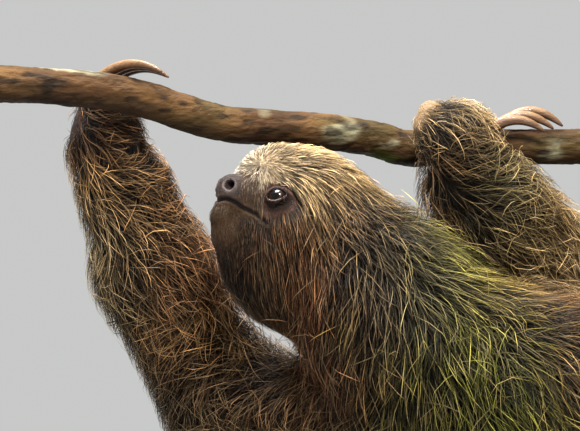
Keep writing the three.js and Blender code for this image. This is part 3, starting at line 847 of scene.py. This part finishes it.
def tinted(name, roughness, grain, low, high, bump_scale, bump, stretch=(1.0, 1.0, 1.0), **settings):
    """A material whose colour is the mesh's Tint, varied by noise. Tint's alpha is low where it is wet."""
    material, tree, shader = node_material(name, roughness, **settings)
    tint = add(tree, "ShaderNodeAttribute", attribute_name="Tint")
    texture = noise_node(tree, grain, stretch=stretch)
    base_colour(tree, shader, tint, texture, low, high)
    gloss = add(tree, "ShaderNodeMapRange", To_Min=roughness * 0.85, To_Max=min(1, roughness * 1.15))
    dull = add(tree, "ShaderNodeMath", operation="MULTIPLY")
    wire(tree, (texture, "Fac", gloss, "Value"), (gloss, "Result", dull, 0), (tint, "Alpha", dull, 1))
    wire(tree, (dull, "Value", shader, "Roughness"))
    bumped(tree, shader, noise_node(tree, bump_scale, 4.0, stretch), bump)
    return material


def coat_material():
    return tinted("coat_hair", 0.5, 260, 0.8, 1.2, 900, 0.00015, Specular_IOR_Level=0.14)


def skin_material():
    return tinted("skin", 0.55, 700, 0.72, 1.28, 1500, 0.0008, Specular_IOR_Level=0.14)


def claw_material():
    gloss = {"Coat_Weight": 0.1, "Specular_IOR_Level": 0.3}
    return tinted("claw_horn", 0.4, 160, 0.62, 1.25, 500, 0.0003, (1.0, 4.0, 4.0), **gloss)


def eye_material(name, side):
    """Brown iris round a black pupil, on a dark ball under a clear glossy coat."""
    at, out, along, up = EYES[side]
    gaze = unit(out + 0.16 * HEAD_AXES[0] - 0.05 * up)
    gloss = {"Coat_Weight": 0.2, "Coat_Roughness": 0.03, "Specular_IOR_Level": 0.15}
    material, tree, shader = node_material(name, 0.16, **gloss)
    coordinates = add(tree, "ShaderNodeTexCoord")
    away = add(tree, "ShaderNodeVectorMath", operation="DISTANCE")
    away.inputs[1].default_value = (at + gaze * EYE_RADIUS) * MM
    scale = add(tree, "ShaderNodeMath", operation="MULTIPLY")
    scale.inputs[1].default_value = 1 / (EYE_RADIUS * MM)
    pupil, rim = (0.48, (0.0015, 0.001, 0.001)), (0.85, (0.006, 0.003, 0.002))
    iris = (0.54, (0.014, 0.006, 0.003)), (0.68, (0.034, 0.014, 0.007)), (0.76, (0.008, 0.004, 0.003))
    ramp = ramp_node(tree, pupil, rim, *iris)
    wire(tree, (coordinates, "Object", away, 0), (away, "Value", scale, 0), (scale, "Value", ramp, "Fac"))
    base_colour(tree, shader, ramp, noise_node(tree, 2600, 2.0), 0.7, 1.3)
    return material


def bark_material():
    return tinted("bark", 0.78, 120, 0.6, 1.3, 420, 0.0014, (0.35, 1.0, 1.0), Specular_IOR_Level=0.1)


def wood_material():
    """Dark stained hardwood with its grain along the base."""
    material, tree, shader = node_material("base_wood", 0.42, Coat_Weight=0.2, Coat_Roughness=0.25)
    grain = noise_node(tree, 60, 6.0, (0.08, 1.0, 1.0))
    ramp = ramp_node(tree, (0.3, srgb(34, 21, 13)), (0.7, srgb(72, 46, 27)))
    wire(tree, (grain, "Fac", ramp, "Fac"), (ramp, "Color", shader, "Base Color"))
    bumped(tree, shader, grain, 0.0003)
    return material


def steel_material():
    material, tree, shader = node_material("rod_steel", 0.32, Metallic=1.0)
    brushed = noise_node(tree, 900, 2.0, (1.0, 1.0, 0.04))
    tint = add(tree, "ShaderNodeRGB")
    tint.outputs[0].default_value = (0.56, 0.56, 0.55, 1)
    base_colour(tree, shader, tint, brushed, 0.85, 1.1)
    gloss = add(tree, "ShaderNodeMapRange", To_Min=0.24, To_Max=0.42)
    wire(tree, (brushed, "Fac", gloss, "Value"), (gloss, "Result", shader, "Roughness"))
    return material


# ---- The skin ----

GRID_LOW, GRID_HIGH = (-285.0, -112, 30), (345.0, 140, 372)
CELL = 4.0
FACE_FINE = [(-183.0, -124, 0.9), (-48.0, 22, 0.9), (258.0, 318, 0.9)]


def coat_depth(p):
    return np.clip(-coat_field(p), 0.3, 22)


def make_skin():
    axes = [lines(low, high, CELL, fine) for low, high, fine in zip(GRID_LOW, GRID_HIGH, FACE_FINE)]
    points, quads = surface(skin_field, axes, CELL / 2)
    _, coat_colour = lie_and_colour(points)
    skin = mesh_of("skin", points, quads, skin_colour(points, coat_colour, coat_depth(points)))
    bpy.context.view_layer.objects.active = skin
    skin.select_set(True)
    bpy.ops.object.mode_set(mode="EDIT")
    bpy.ops.mesh.select_all(action="SELECT")
    bpy.ops.uv.smart_project(angle_limit=math.radians(66), island_margin=0.001)
    bpy.ops.object.mode_set(mode="OBJECT")
    skin.data.uv_layers[0].name = "OFBake"
    uv = np.empty(len(skin.data.loops) * 2, np.float32)
    skin.data.uv_layers[0].data.foreach_get("uv", uv)
    finish = skin_material()
    piece(skin, "skin_coat", finish, *FLESH)
    return points, quads, uv.reshape(-1, 4, 2), finish


# ---- The coat ----

LOCK = {  # for each part: locks to a square millimetre of skin, lengths of a lock's path, width, brightness
    "head": (1.5, 3, 0.27, 1.2),
    "body": (0.31, 4, 0.42, 0.84),
    "arm_left": (0.44, 4, 0.34, 0.92),
    "arm_right": (0.4, 4, 0.34, 1.22),
    "leg_left": (0.15, 4, 0.9, 1.22),
    "leg_right": (0.15, 4, 0.9, 1.22),
}
FAR_SIDE = 0.45  # share of the locks on the belly's side and past RUMP_FROM, each wider
RUMP_FROM = 45  # the x past which the coat is coarser
PATCH = 0.003  # a lock's width on the unwrap
# For the head, the arms and the rest: share of stray locks, spread of their ways, and curl
STRAYS, WILDNESS, CURL = (0.0072, 0.12, 0.06), (0.26, 1.3, 0.9), (0.35, 1.25, 1)
LOCK_LENGTH, FACE_SHORTER, DEPTH_LONGER = 3.4, 1.9, 2.3
CLUMP_WAY, SWIRL_WAY, OWN_WAY, STRAY_WAY = 0.36, 0.3, 0.24, 0.4  # what turns a lock from the lie of the coat
RISE, DROOP = 2.2, 0.5  # how soon a lock leaves the skin, and how much it hangs
DARK_SHARE, PALE_SHARE = 0.3, 0.16
CLUMP, CLUMP_REACH = 13, 16  # locks to a clump, and how far off the last is drawn in
CLUMPING = 0.5
HEAD_CLUMPING = 0.12
PIECE_TRIANGLES = 190_000


def far_side(p):
    """Where the coat is coarser: on the belly's side, and on the rump and legs."""
    away = slope(skin_field, p)[:, 1] > 0.25
    return (away & (norm(in_head(p)) > HEAD_REACH - 5)) | (p[:, 0] > RUMP_FROM)


def roots(points, quads, uv):
    """Random places on the skin, their part, and their place on the skin's unwrap."""
    corner = np.vstack([quads[:, [0, 1, 2]], quads[:, [0, 2, 3]]])
    corner_uv = np.concatenate([uv[:, [0, 1, 2]], uv[:, [0, 2, 3]]])
    a, b, c = (points[corner[:, n]] for n in range(3))
    area = norm(np.cross(b - a, c - a)) / 2
    middle = (a + b + c) / 3
    shares = parts_at(middle)
    names = list(shares)
    part = np.argmax(np.stack([shares[n] for n in names]), axis=0)
    density = sum(shares[n] * LOCK[n][0] for n in names)
    depth = coat_depth(middle)
    density *= np.where(depth < 3, 1.4, 1.0) * (1 + 0.5 * by_whorl(middle))
    density *= (1 - bareness(middle)) * np.where(far_side(middle), FAR_SIDE, 1)
    count = np.floor(area * density + rng.random(len(area))).astype(int)
    which = np.repeat(np.arange(len(count)), count)
    mix = np.sort(rng.random((len(which), 2)), axis=1)
    weight = np.stack([mix[:, 0], mix[:, 1] - mix[:, 0], 1 - mix[:, 1]], axis=1)
    at = sum(weight[:, n, None] * points[corner[which, n]] for n in range(3))
    place = sum(weight[:, n, None] * corner_uv[which, n] for n in range(3))
    return at, place, np.array(names)[part[which]]


branch_line = catmull_rom(BRANCH, 70)
branch_field = union(chain([(*at, BRANCH_RADIUS) for at in branch_line], 0), 0.01)


def clear_of_branch(p, room=1.2):
    """Moves points that come near the branch out to `room` from its surface."""
    near = (p[:, 2] > 300) & (p[:, 1] > -35)
    if near.any():
        q = p[near]
        d = branch_field(q)
        inside = d < room
        q[inside] += unit(slope(branch_field, q[inside])) * (room - d[inside])[:, None]
        p[near] = q
    return p


def by_part(part, head, arm, rest):
    """One of three numbers for each lock, by the part that it grows on."""
    return np.select([part == "head", np.char.startswith(part, "arm")], [head, arm], rest)


def paths(at, lengths, part):
    """The points of each lock's path from root to tip, the skin's normal along it, and its root's facts."""
    count = len(at)
    depth = coat_depth(at)
    way, colour = lie_and_colour(at)
    normal = unit(slope(skin_field, at))
    clump = np.stack([noise(at, 11, 20 + n) for n in range(3)], axis=1)
    swirl = np.stack([noise(at, 34, 30 + n) for n in range(3)], axis=1)
    single = rng.normal(size=(count, 3))
    stray = rng.random(count) < by_part(part, *STRAYS)
    whorl = by_whorl(at)
    wild = (by_part(part, *WILDNESS) + 0.8 * whorl + 1.4 * whorl**12)[:, None]
    way = unit(way) + (CLUMP_WAY * clump + SWIRL_WAY * swirl + OWN_WAY * single) * wild
    way += STRAY_WAY * stray[:, None] * single
    way = unit(way - normal * dot(way, normal))
    face = ramp(in_head(at)[:, 0], 10, 24) * (norm(in_head(at)) < HEAD_REACH)
    full = (LOCK_LENGTH - FACE_SHORTER * face + DEPTH_LONGER * depth) * rng.uniform(0.7, 1.25, count)
    full *= np.where(stray, 1.2, 1) * (1 - 0.35 * whorl)
    top = np.where(stray, rng.uniform(0.95, 1.25, count), rng.uniform(0.15, 1.12, count))
    curl = (rng.normal(size=count) * 0.14 + 0.3 * noise(at, 15, 40)) * by_part(part, *CURL)
    steps, normals = [at], [normal]
    p = at
    for s in range(1, lengths + 1):
        t = s / lengths
        p = p + way * (full / lengths)[:, None]
        level = depth * top * (1 - (1 - t) ** RISE)
        g = slope(skin_field, p, 0.5)
        p = p - g * ((skin_field(p) - level) / np.maximum(np.sum(g * g, axis=1), 0.25))[:, None]
        normal = unit(g)
        p = clear_of_branch(p)
        droop = np.array([0, 0, -1.0]) * (DROOP * t * np.clip(depth / 14, 0.15, 1.2))[:, None] / lengths * 2
        way = way + np.cross(normal, way) * curl[:, None] + droop
        way = unit(way - normal * dot(way, normal))
        steps.append(p)
        normals.append(normal)
    return np.stack(steps, 1), np.stack(normals, 1), colour, stray, depth, top


def clumped(path, at, strength):
    """Draws each lock towards the nearest of some chosen locks, more so towards its tip."""
    chosen = rng.permutation(len(at))[: max(len(at) // CLUMP, 1)]
    tree = kdtree.KDTree(len(chosen))
    for n, index in enumerate(chosen):
        tree.insert(at[index], n)
    tree.balance()
    nearest = chosen[np.array([tree.find(p)[1] for p in at])]
    t = np.linspace(0, 1, path.shape[1])[None, :, None]
    pull = clamp(1.25 - norm(at - at[nearest]) / CLUMP_REACH) * rng.uniform(0.15, 0.85, len(at))
    return path + (path[nearest] - path) * (t**1.4 * pull[:, None, None] * strength)


def locks(name, path, normals, width, tint, place):
    """One mesh of closed three-sided locks that taper to a point, each on its own patch of the unwrap."""
    count, stations = path.shape[:2]
    along = unit(np.gradient(path, axis=1))
    side = unit(np.cross(along, normals))
    t = np.linspace(0, 1, stations)
    half = width[:, None] / 2 * (0.8 + 0.4 * t) * (1 - t**2.6)
    stem, half = path[:, :-1], half[:, :-1, None]
    across, ridge = side[:, :-1] * half, normals[:, :-1] * half * 0.9
    rings = np.stack([stem - across, stem + ridge, stem + across], axis=2).reshape(count, -1, 3)
    points = np.concatenate([rings, path[:, -1:]], axis=1)
    each = points.shape[1]
    faces = [(0, 2, 1)]
    for a in range(0, each - 4, 3):
        for k in range(3):
            b, c = a + k, a + (k + 1) % 3
            faces += [(b, c, c + 3), (b, c + 3, b + 3)]
    faces += [(each - 4 + k, each - 4 + (k + 1) % 3, each - 1) for k in range(3)]
    faces = (np.array(faces)[None] + (np.arange(count) * each)[:, None, None]).reshape(-1, 3)
    patch = [(k / 2 - 0.5, at - 0.5) for at in t[:-1] for k in range(3)] + [(0, 0.5)]
    uv = clamp(place[:, None] + np.array(patch)[None] * PATCH).reshape(-1, 2)
    # Darkest at the root, palest at the tip: painted shade deep in the coat, partly paler tips.
    fade = 0.04 + 1.15 * np.append(np.repeat(t[:-1], 3), 1) ** 1.2
    colour = (tint[:, None] * fade[None, :, None]).reshape(-1, 3)
    return mesh_of(name, points.reshape(-1, 3), faces, colour, uv)


def over_face(path, name):
    """Which locks cross an eye's bare patch or the mouth's line."""
    crossing = np.zeros(len(path), bool)
    for p in np.moveaxis(path, 1, 0):
        for eye in EYES:
            away, out = outside_patch(p, eye)
            crossing |= (away < -0.6) & (out > -7) & (out < 14)
        if name == "head":
            crossing |= (from_mouth(p) <= 1.5) & (in_head(p)[:, 0] >= 17)
    return crossing


def lock_colours(name, at, colour, stray, depth, top):
    """The coat's colour at each root, brighter or darker, darker the lower a lock lies in the coat as painted
    shade and darker underfur, with pale locks in the deep coat.
    """
    own, shared = (0.75, 0.3) if name == "head" else (0.65, 0.6)
    bright = rng.normal(size=len(at)) * own + noise(at, 5, 50) * shared + 0.25 * noise(at, 18, 51)
    bright = np.exp(bright * (1 - 0.6 * by_whorl(at))) * LOCK[name][3]
    dark = (rng.random(len(at)) < DARK_SHARE) & (norm(at - WHORL) > 9)
    bright = np.minimum(np.where(dark, bright * 0.3, bright), 2.3)
    # Locks that lie low in a deep coat are darker: painted shade, partly darker underfur.
    bright *= np.where(depth < 1.5, 1, 0.04 + top**2.2)
    pale = (rng.random(len(at)) < np.where(depth > 4, PALE_SHARE, 0.02)) | (stray & (depth > 4))
    tint = colour * bright[:, None]
    return np.where(pale[:, None], tint * 1.4 + COLOURS["cream"] * 0.15, tint)


def make_coat(points, quads, uv):
    roots_at, places, parts = roots(points, quads, uv)
    finish = coat_material()
    coarse = far_side(roots_at)
    for name, far in ((name, far) for name in LOCK for far in (False, True)):
        _, lengths, width, _ = LOCK[name]
        lengths -= far and name != "head"
        own = (parts == name) & (coarse == far)
        if not own.any():
            continue
        at, place = roots_at[own], places[own]
        path, normals, colour, stray, depth, top = paths(at, lengths, parts[own])
        path = clumped(path, at, HEAD_CLUMPING if name == "head" else CLUMPING)
        thick = width * np.clip(0.45 + 0.11 * depth, 0.5, 1.1) * rng.uniform(0.7, 1.25, len(at))
        thick *= FAR_SIDE**-0.75 if far else 1
        tint = lock_colours(name, at, colour, stray, depth, top)
        order = np.argsort(at[:, 0])
        order = order[~over_face(path, name)[order]]
        groups = math.ceil(len(order) * (6 * lengths - 2) / PIECE_TRIANGLES)
        for n, g in enumerate(np.array_split(order, groups)):
            title = f"coat_{name}{'_far' * far}_{n + 1}"
            piece(locks(title, path[g], normals[g], thick[g], tint[g], place[g]), "skin_coat", finish)


# ---- Eyes and claws ----


def make_eye(side):
    at, out, along, up = EYES[side]
    theta = np.linspace(0, np.pi, 33)[1:-1, None]
    centres, radius = at + out * np.cos(theta) * EYE_RADIUS, np.sin(theta) * EYE_RADIUS
    rings = ringed(centres, along[None], up[None], radius, 48)
    turn = 1 if np.dot(np.cross(along, up), out) > 0 else -1
    points, faces = sheathed(rings[:, ::-turn])
    points[-2:] = at + np.array([out, -out]) * EYE_RADIUS
    eye = mesh_of(f"eyeball_{side}", points, faces)
    piece(eye, "eye", eye_material(f"eye_{side}", side), f"eye_{side}")


def make_lid_margins(side, finish):
    """The moist edges of the two lids, as thin rims that lie on the eyeball along the opening."""
    at, out, along, up = EYES[side]
    x = np.linspace(-0.93, 0.93, 40) * OPENING_HALF
    z = np.sqrt(OPENING_ARC * OPENING_ARC - x * x) - (OPENING_ARC - OPENING_RISE)
    forward = np.sqrt((EYE_RADIUS + 0.1) ** 2 - x * x - z * z)
    taper = np.sqrt(np.sin(np.pi * np.linspace(0.02, 0.98, len(x))))
    # The upper rim is near black: painted shade under the upper lid. The lower is pale: the rim's own paler
    # skin with a painted highlight.
    for lid, sign, colour, radius in (("upper", 1, SHADE_BLACK, 0.5), ("lower", -1, LID_RIM_PALE_AND_HIGHLIGHT, 0.3)):
        line = at + x[:, None] * along + sign * z[:, None] * up + forward[:, None] * out
        points, faces = sheathed(tube(line, radius * taper, 8))
        tint = np.tile([*colour, 0.5], (len(points), 1))
        piece(mesh_of(f"lid_{lid}_{side}", points, faces, tint), "skin_coat", finish)


def make_mouth_line(finish):
    """A near-black tube between the closed lips: painted shade in the slit."""
    inward = -unit(slope(skin_skull, mouth_line))
    radius = 0.58 * np.sin(np.pi * np.linspace(0.01, 0.99, len(mouth_line))) ** 0.35
    points, faces = sheathed(tube(mouth_line + 0.85 * inward, radius, 10))
    tint = np.tile([*SHADE_BLACK, 1], (len(points), 1))
    piece(mesh_of("mouth_slit_shade", points, faces, tint), "skin_coat", finish)


def make_claw(limb, number, finish):
    root, tip, rise, root_step, tip_step = (np.array(v, float) for v in CLAWS[limb])
    root, tip = root + number * root_step, tip + number * tip_step
    middle = (root + tip) / 2 + (0, 0, 2 * rise)
    t = np.linspace(0, 0.999, 28)[:, None]
    points = (1 - t) ** 2 * root + 2 * t * (1 - t) * middle + t * t * tip
    tangent = unit(2 * (1 - t) * (middle - root) + 2 * t * (tip - middle))
    side = unit(np.cross(tip - root, middle - root))[None]
    up = unit(np.cross(side, tangent))
    radius = CLAW_ROOT * np.sqrt(1 - 0.98 * t * t)
    shape, faces = sheathed(ringed(points, side * CLAW_FLATNESS, up, radius, CLAW_SIDES))
    angle = np.linspace(0, 2 * np.pi, CLAW_SIDES, endpoint=False)
    high = np.append(np.tile(np.sin(angle), len(t)) * np.sign(up[:, 2].mean()), [0, 0])
    far = np.append(np.repeat(t, CLAW_SIDES), [0, 1])
    pale, tipped = clamp(0.35 + 0.55 * high), clamp((far - 0.6) * 2) * 0.7
    colour = painted(HORN_DARK, (HORN_PALE, pale), (HORN_TIP, tipped))
    claw = mesh_of(f"horn_{limb}_{number + 1}", shape, faces, colour)
    piece(claw, "claw", finish, f"claw_{limb}_{number + 1}")


# ---- The branch ----

KNOTS = [  # place and reach
    ((262, 30, 340), 9), ((-205, 0, 350), 6), ((-80, 18, 332), 8), ((120, 24, 330), 9), ((20, 45, 318), 8),
]
KNOT_RISE, KNOT_PIT = 1.2, 0.8
MOSS_AT = (-95, 322)  # along the branch, and the height that it grows below
BARK_SIDES = 72


def make_branch():
    line = catmull_rom(BRANCH, 460)
    rings = tube(line, np.full(len(line), BRANCH_RADIUS - 0.5), BARK_SIDES)
    flat = rings.reshape(-1, 3)
    out = unit(flat - np.repeat(line, BARK_SIDES, axis=0))
    stretched = flat * (0.3, 1, 1)
    height = 0.45 * noise(stretched, 4, 60) + 0.3 * noise(flat * (0.5, 1, 1), 1.6, 61)
    height += 0.5 * noise(flat, 26, 62) - 0.5 * (1 - clamp(np.abs(noise(stretched, 3.2, 63)) * 6))
    for at, reach in KNOTS:
        away = norm(flat - np.array(at))
        height += KNOT_RISE * bell(away, reach) - KNOT_PIT * bell(away, 0.35 * reach)
    rings = (flat + out * np.clip(height, -1.5, 0.75)[:, None]).reshape(rings.shape)
    points, faces = sheathed(rings)
    lengthwise = points * (0.35, 1, 1)
    heart = np.append(np.repeat(line[:, 2], BARK_SIDES), line[[0, -1], 2])
    mossy = bell(points[:, 0] - MOSS_AT[0], 32) * ramp(points[:, 2], MOSS_AT[1], MOSS_AT[1] - 5)
    colour = painted(
        BARK_BROWN,
        (BARK_TAN, clamp((0.5 + 0.5 * noise(points, 30, 64)) * 1.5 - 0.4)),
        (BARK_OLIVE, clamp(noise(lengthwise, 11, 68) * 1.8 - 0.1) * 0.6),
        (BARK_FLAKE, clamp(noise(lengthwise, 8, 65) * 3.5 - 1.6) * 0.8),
        (BARK_DARK_AND_SHADE, clamp(noise(lengthwise, 3.2, 66) * 2.4 - 0.5) * 0.8),
        # Darker towards the underside: painted shade.
        (BARK_DARK_AND_SHADE, 0.85 * clamp((heart - points[:, 2]) / BRANCH_RADIUS)),
        (MOSS, clamp(noise(lengthwise, 5, 67) * 2 + 0.2) * mossy),
    )
    branch = mesh_of("perch_bark", points, faces, colour)
    piece(branch, "bark", bark_material(), "perch_branch")


# ---- The stand ----


def make_base():
    low, high = (np.array(c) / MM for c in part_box("stand_base"))
    corner, edge, turns = 34.0, 4.0, np.linspace(0, math.pi / 2, 7)
    half = (high - low)[:2] / 2

    def outline(inset, z):
        points = []
        for n, quadrant in enumerate(((1, 1), (-1, 1), (-1, -1), (1, -1))):
            x, y = quadrant * (half - corner)
            for a in np.linspace(0, math.pi / 2, 14) + n * math.pi / 2:
                points.append((x + (corner - inset) * math.cos(a), y + (corner - inset) * math.sin(a), z))
        return points

    foot = [outline(edge / 2 * (1 - math.sin(a)), low[2] + edge / 2 * (1 - math.cos(a))) for a in turns]
    top = [outline(edge * (1 - math.cos(a)), high[2] - edge * (1 - math.sin(a))) for a in turns]
    points, faces = sheathed(np.array(foot + top))
    base = mesh_of("stand_base_board", points, faces, smooth=False)
    piece(base, "base_wood", wood_material(), "stand_base")
    base.data.shade_smooth()
    modifier = base.modifiers.new("edges", "WEIGHTED_NORMAL")
    modifier.keep_sharp = False


def make_rod(name, finish):
    """A turned rod with a flange at its foot and a cup that the branch lies in."""
    low, high = (np.array(c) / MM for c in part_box(name))
    x, y = (low[:2] + high[:2]) / 2
    foot, top = low[2], high[2]
    flange = [(0.2, 0), (16.2, 0), (17, 0.8), (17, 4.2), (16.2, 5), (9, 6), (6, 8.4), (5, 12)]
    cup = [(5, 28), (6.4, 24), (8.4, 21), (9, 19), (9, 1), (8.4, 0.3), (0.2, 0.3)]
    profile = np.array([(r, foot + up) for r, up in flange] + [(r, top - down) for r, down in cup])
    centres = np.array([(x, y, z) for z in profile[:, 1]])
    rings = ringed(centres, np.array([(1, 0, 0)]), np.array([(0, 1, 0)]), profile[:, :1], 48)
    points, faces = sheathed(rings)
    saddle = 0.5 - branch_field(points)
    points[:, 2] -= np.where(points[:, 2] > top - 26, np.maximum(saddle, 0), 0)
    rod = mesh_of(name + "_turned", points, faces)
    piece(rod, "rod_steel", finish, name)


# ---- Camera, light and floor ----

CAMERA_AT = (-134, -2400, 284)
PIXEL, WIDTH = 0.55, 580  # millimetres to a pixel in the plane of the head, and pixels across
SENSOR = 36
LIT = (-60, 0, 240)  # where the lamps point
BACKDROP, AMBIENT = (0.80, 0.81, 0.80), 0.72
FLOOR = (0.36, 0.365, 0.36)


def area_light(name, at, size, power):
    """A square lamp turned to the animal, of equal brightness over its face."""
    data = bpy.data.lights.new(name, "AREA")
    data.energy, data.size = power, size
    ob = placed(name, data)
    ob.location = at
    ob.rotation_euler = (Vector(LIT) * MM - Vector(at)).to_track_quat("-Z", "Y").to_euler()


def make_floor():
    """A pale floor that fades into the backdrop away from the stand."""
    material, tree, shader = node_material("floor", 0.9)
    shader.inputs["Base Color"].default_value = (*FLOOR, 1)
    glow = add(tree, "ShaderNodeEmission", Color=(*BACKDROP, 1), Strength=AMBIENT)
    mix = add(tree, "ShaderNodeMixShader")
    coordinates = add(tree, "ShaderNodeTexCoord")
    away = add(tree, "ShaderNodeVectorMath", operation="LENGTH")
    fade = add(tree, "ShaderNodeMapRange", From_Min=0.9, From_Max=3.0)
    wire(tree, (coordinates, "Object", away, 0), (away, "Value", fade, "Value"), (fade, "Result", mix, "Fac"))
    wire(tree, (shader, "BSDF", mix, 1), (glow, "Emission", mix, 2))
    wire(tree, (mix, "Shader", tree.nodes["Material Output"], "Surface"))
    bpy.ops.mesh.primitive_circle_add(vertices=96, radius=60, fill_type="NGON", location=(0, 0, -0.0005))
    floor = bpy.context.object
    floor.name = "floor"
    floor.data.materials.append(material)


def make_stage():
    camera = bpy.data.cameras.new("camera")
    camera.sensor_width = SENSOR
    camera.lens = SENSOR * -CAMERA_AT[1] / (PIXEL * WIDTH)
    camera.clip_end = 200
    ob = placed("camera", camera)
    ob.location = np.array(CAMERA_AT) * MM
    ob.rotation_euler = (math.pi / 2, 0, 0)
    bpy.context.scene.camera = ob
    world = bpy.data.worlds.new("studio")
    world.use_nodes = True
    light = world.node_tree.nodes["Background"].inputs
    light["Color"].default_value, light["Strength"].default_value = (*BACKDROP, 1), AMBIENT
    bpy.context.scene.world = world
    area_light("key", (0.15, -1.4, 1.9), 0.4, 100)
    area_light("top", (-0.5, 0.1, 1.9), 0.9, 130)
    bpy.context.scene.view_settings.view_transform = "Standard"
    make_floor()


make_stage()
skin_points, skin_quads, skin_uv, skin_finish = make_skin()
make_coat(skin_points, skin_quads, skin_uv)
for side in EYES:
    make_eye(side)
    make_lid_margins(side, skin_finish)
make_mouth_line(skin_finish)
horn = claw_material()
for limb in CLAWS:
    for number in range(3):
        make_claw(limb, number, horn)
make_branch()
make_base()
steel = steel_material()
for rod in ("stand_rod_head_end", "stand_rod_rump_end"):
    make_rod(rod, steel)
